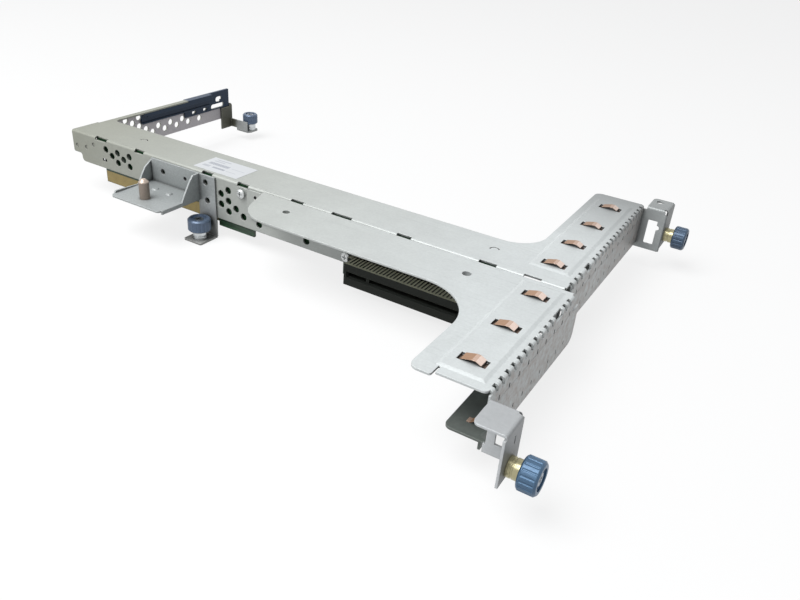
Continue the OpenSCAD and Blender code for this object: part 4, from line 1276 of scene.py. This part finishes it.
def make_floor():
    low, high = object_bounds()
    centre = (low + high) / 2
    shape = bmesh.new()
    bmesh.ops.create_grid(
        shape, x_segments=1, y_segments=1, size=FLOOR_REACH,
        matrix=Matrix.Translation((centre.x, centre.y, low.z - 0.2 * MM)),
    )
    mesh = bpy.data.meshes.new("floor")
    shape.to_mesh(mesh)
    shape.free()
    floor = bpy.data.objects.new("floor", mesh)
    bpy.context.scene.collection.objects.link(floor)
    floor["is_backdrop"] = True
    material = bpy.data.materials.new("white_floor")
    material.use_nodes = True
    tree = material.node_tree
    tree.nodes.clear()
    # White to the camera, grey to the light it throws back, so that walls stay darker than tops
    seen = seen_directly(tree)
    bounce = add(
        tree, "Mix", {FACTOR: seen, COLOUR_A: rgba(FLOOR_BOUNCE), COLOUR_B: rgba(WHITE)}, COLOUR_OUT,
        data_type="RGBA",
    )
    matte = add(tree, "BsdfDiffuse", {"Color": bounce}, "BSDF")
    glow = add(tree, "Emission", {"Color": rgba(WHITE), "Strength": 1.0}, "Emission")
    share = add(tree, "Math", (seen, FLOOR_GLOW), "Value", operation="MULTIPLY")
    both = add(tree, "MixShader", (share, matte, glow), "Shader")
    add(tree, "OutputMaterial", {"Surface": both})
    mesh.materials.append(material)


def make_world():
    world = bpy.data.worlds.new("studio")
    bpy.context.scene.world = world
    world.use_nodes = True
    tree = world.node_tree
    tree.nodes.clear()
    soft = add(tree, "Background", {"Color": rgba(WORLD_COLOUR), "Strength": WORLD_STRENGTH}, "Background")
    white = add(tree, "Background", {"Color": rgba(WHITE), "Strength": 1.0}, "Background")
    both = add(tree, "MixShader", (seen_directly(tree), soft, white), "Shader")
    add(tree, "OutputWorld", {"Surface": both})


def make_lights():
    low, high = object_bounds()
    centre = (low + high) / 2
    for name, offset, width, power in LAMPS:
        light = bpy.data.lights.new(name, "AREA")
        light.shape = "SQUARE"
        light.size = width
        light.energy = power
        lamp = bpy.data.objects.new(name, light)
        lamp.location = centre + offset
        lamp.rotation_mode = "QUATERNION"
        lamp.rotation_quaternion = (-offset).to_track_quat("-Z", "Y")
        bpy.context.scene.collection.objects.link(lamp)


def make_camera():
    """Looks down the spine from near its middle, a little rolled."""
    camera_data = bpy.data.cameras.new("camera")
    camera_data.lens = sizes().camera_lens
    camera_data.sensor_width = 36.0
    camera_data.clip_start = 0.01
    camera_data.clip_end = 50.0
    camera = bpy.data.objects.new("camera", camera_data)
    azimuth, elevation, roll = (math.radians(angle) for angle in CAMERA_ANGLES)
    level = math.cos(elevation)
    back = Vector((math.sin(azimuth) * level, -math.cos(azimuth) * level, math.sin(elevation)))
    across = (-back).cross(Vector((0, 0, 1))).normalized()
    up = back.cross(across)
    turn = Matrix((across, up, back)).transposed()
    camera.rotation_mode = "QUATERNION"
    camera.rotation_quaternion = (turn @ Matrix.Rotation(-roll, 3, "Z")).to_quaternion()
    camera.location = CAMERA_PLACE
    bpy.context.scene.collection.objects.link(camera)
    bpy.context.scene.camera = camera


class RISERCAGE_PT_panel(bpy.types.Panel):
    """Lists the cage's finishes and small parts"""

    bl_idname = "RISERCAGE_PT_panel"
    bl_label = "Riser Cage"
    bl_space_type = "VIEW_3D"
    bl_region_type = "UI"
    bl_category = "Riser Cage"

    def draw(self, context):
        for operator in OPERATORS:
            self.layout.operator(operator.bl_idname)
        for group in (context.scene.riser_cage_colours, context.scene.riser_cage_sizes):
            for name in group.bl_rna.properties.keys():
                if name not in ("rna_type", "name"):
                    self.layout.prop(group, name)


OPERATORS = (
    RISERCAGE_OT_stage,
    RISERCAGE_OT_sheet_metal,
    RISERCAGE_OT_dark_sheet,
    RISERCAGE_OT_guide_pin,
    RISERCAGE_OT_card_guide,
    RISERCAGE_OT_board,
    RISERCAGE_OT_sockets,
    RISERCAGE_OT_contact_springs,
    RISERCAGE_OT_fasteners,
    RISERCAGE_OT_thumbscrews,
    RISERCAGE_OT_label,
)
CLASSES = (RiserCageColours, RiserCageSizes, *OPERATORS, RISERCAGE_PT_panel)


def register():
    for item in CLASSES:
        bpy.utils.register_class(item)
    bpy.types.Scene.riser_cage_colours = PointerProperty(type=RiserCageColours)
    bpy.types.Scene.riser_cage_sizes = PointerProperty(type=RiserCageSizes)


def unregister():
    del bpy.types.Scene.riser_cage_sizes
    del bpy.types.Scene.riser_cage_colours
    for item in reversed(CLASSES):
        bpy.utils.unregister_class(item)


def main():
    """Registers the add-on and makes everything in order."""
    register()
    for operator in OPERATORS:
        group, name = operator.bl_idname.split(".")
        getattr(getattr(bpy.ops, group), name)()


if __name__ == "__main__":
    main()
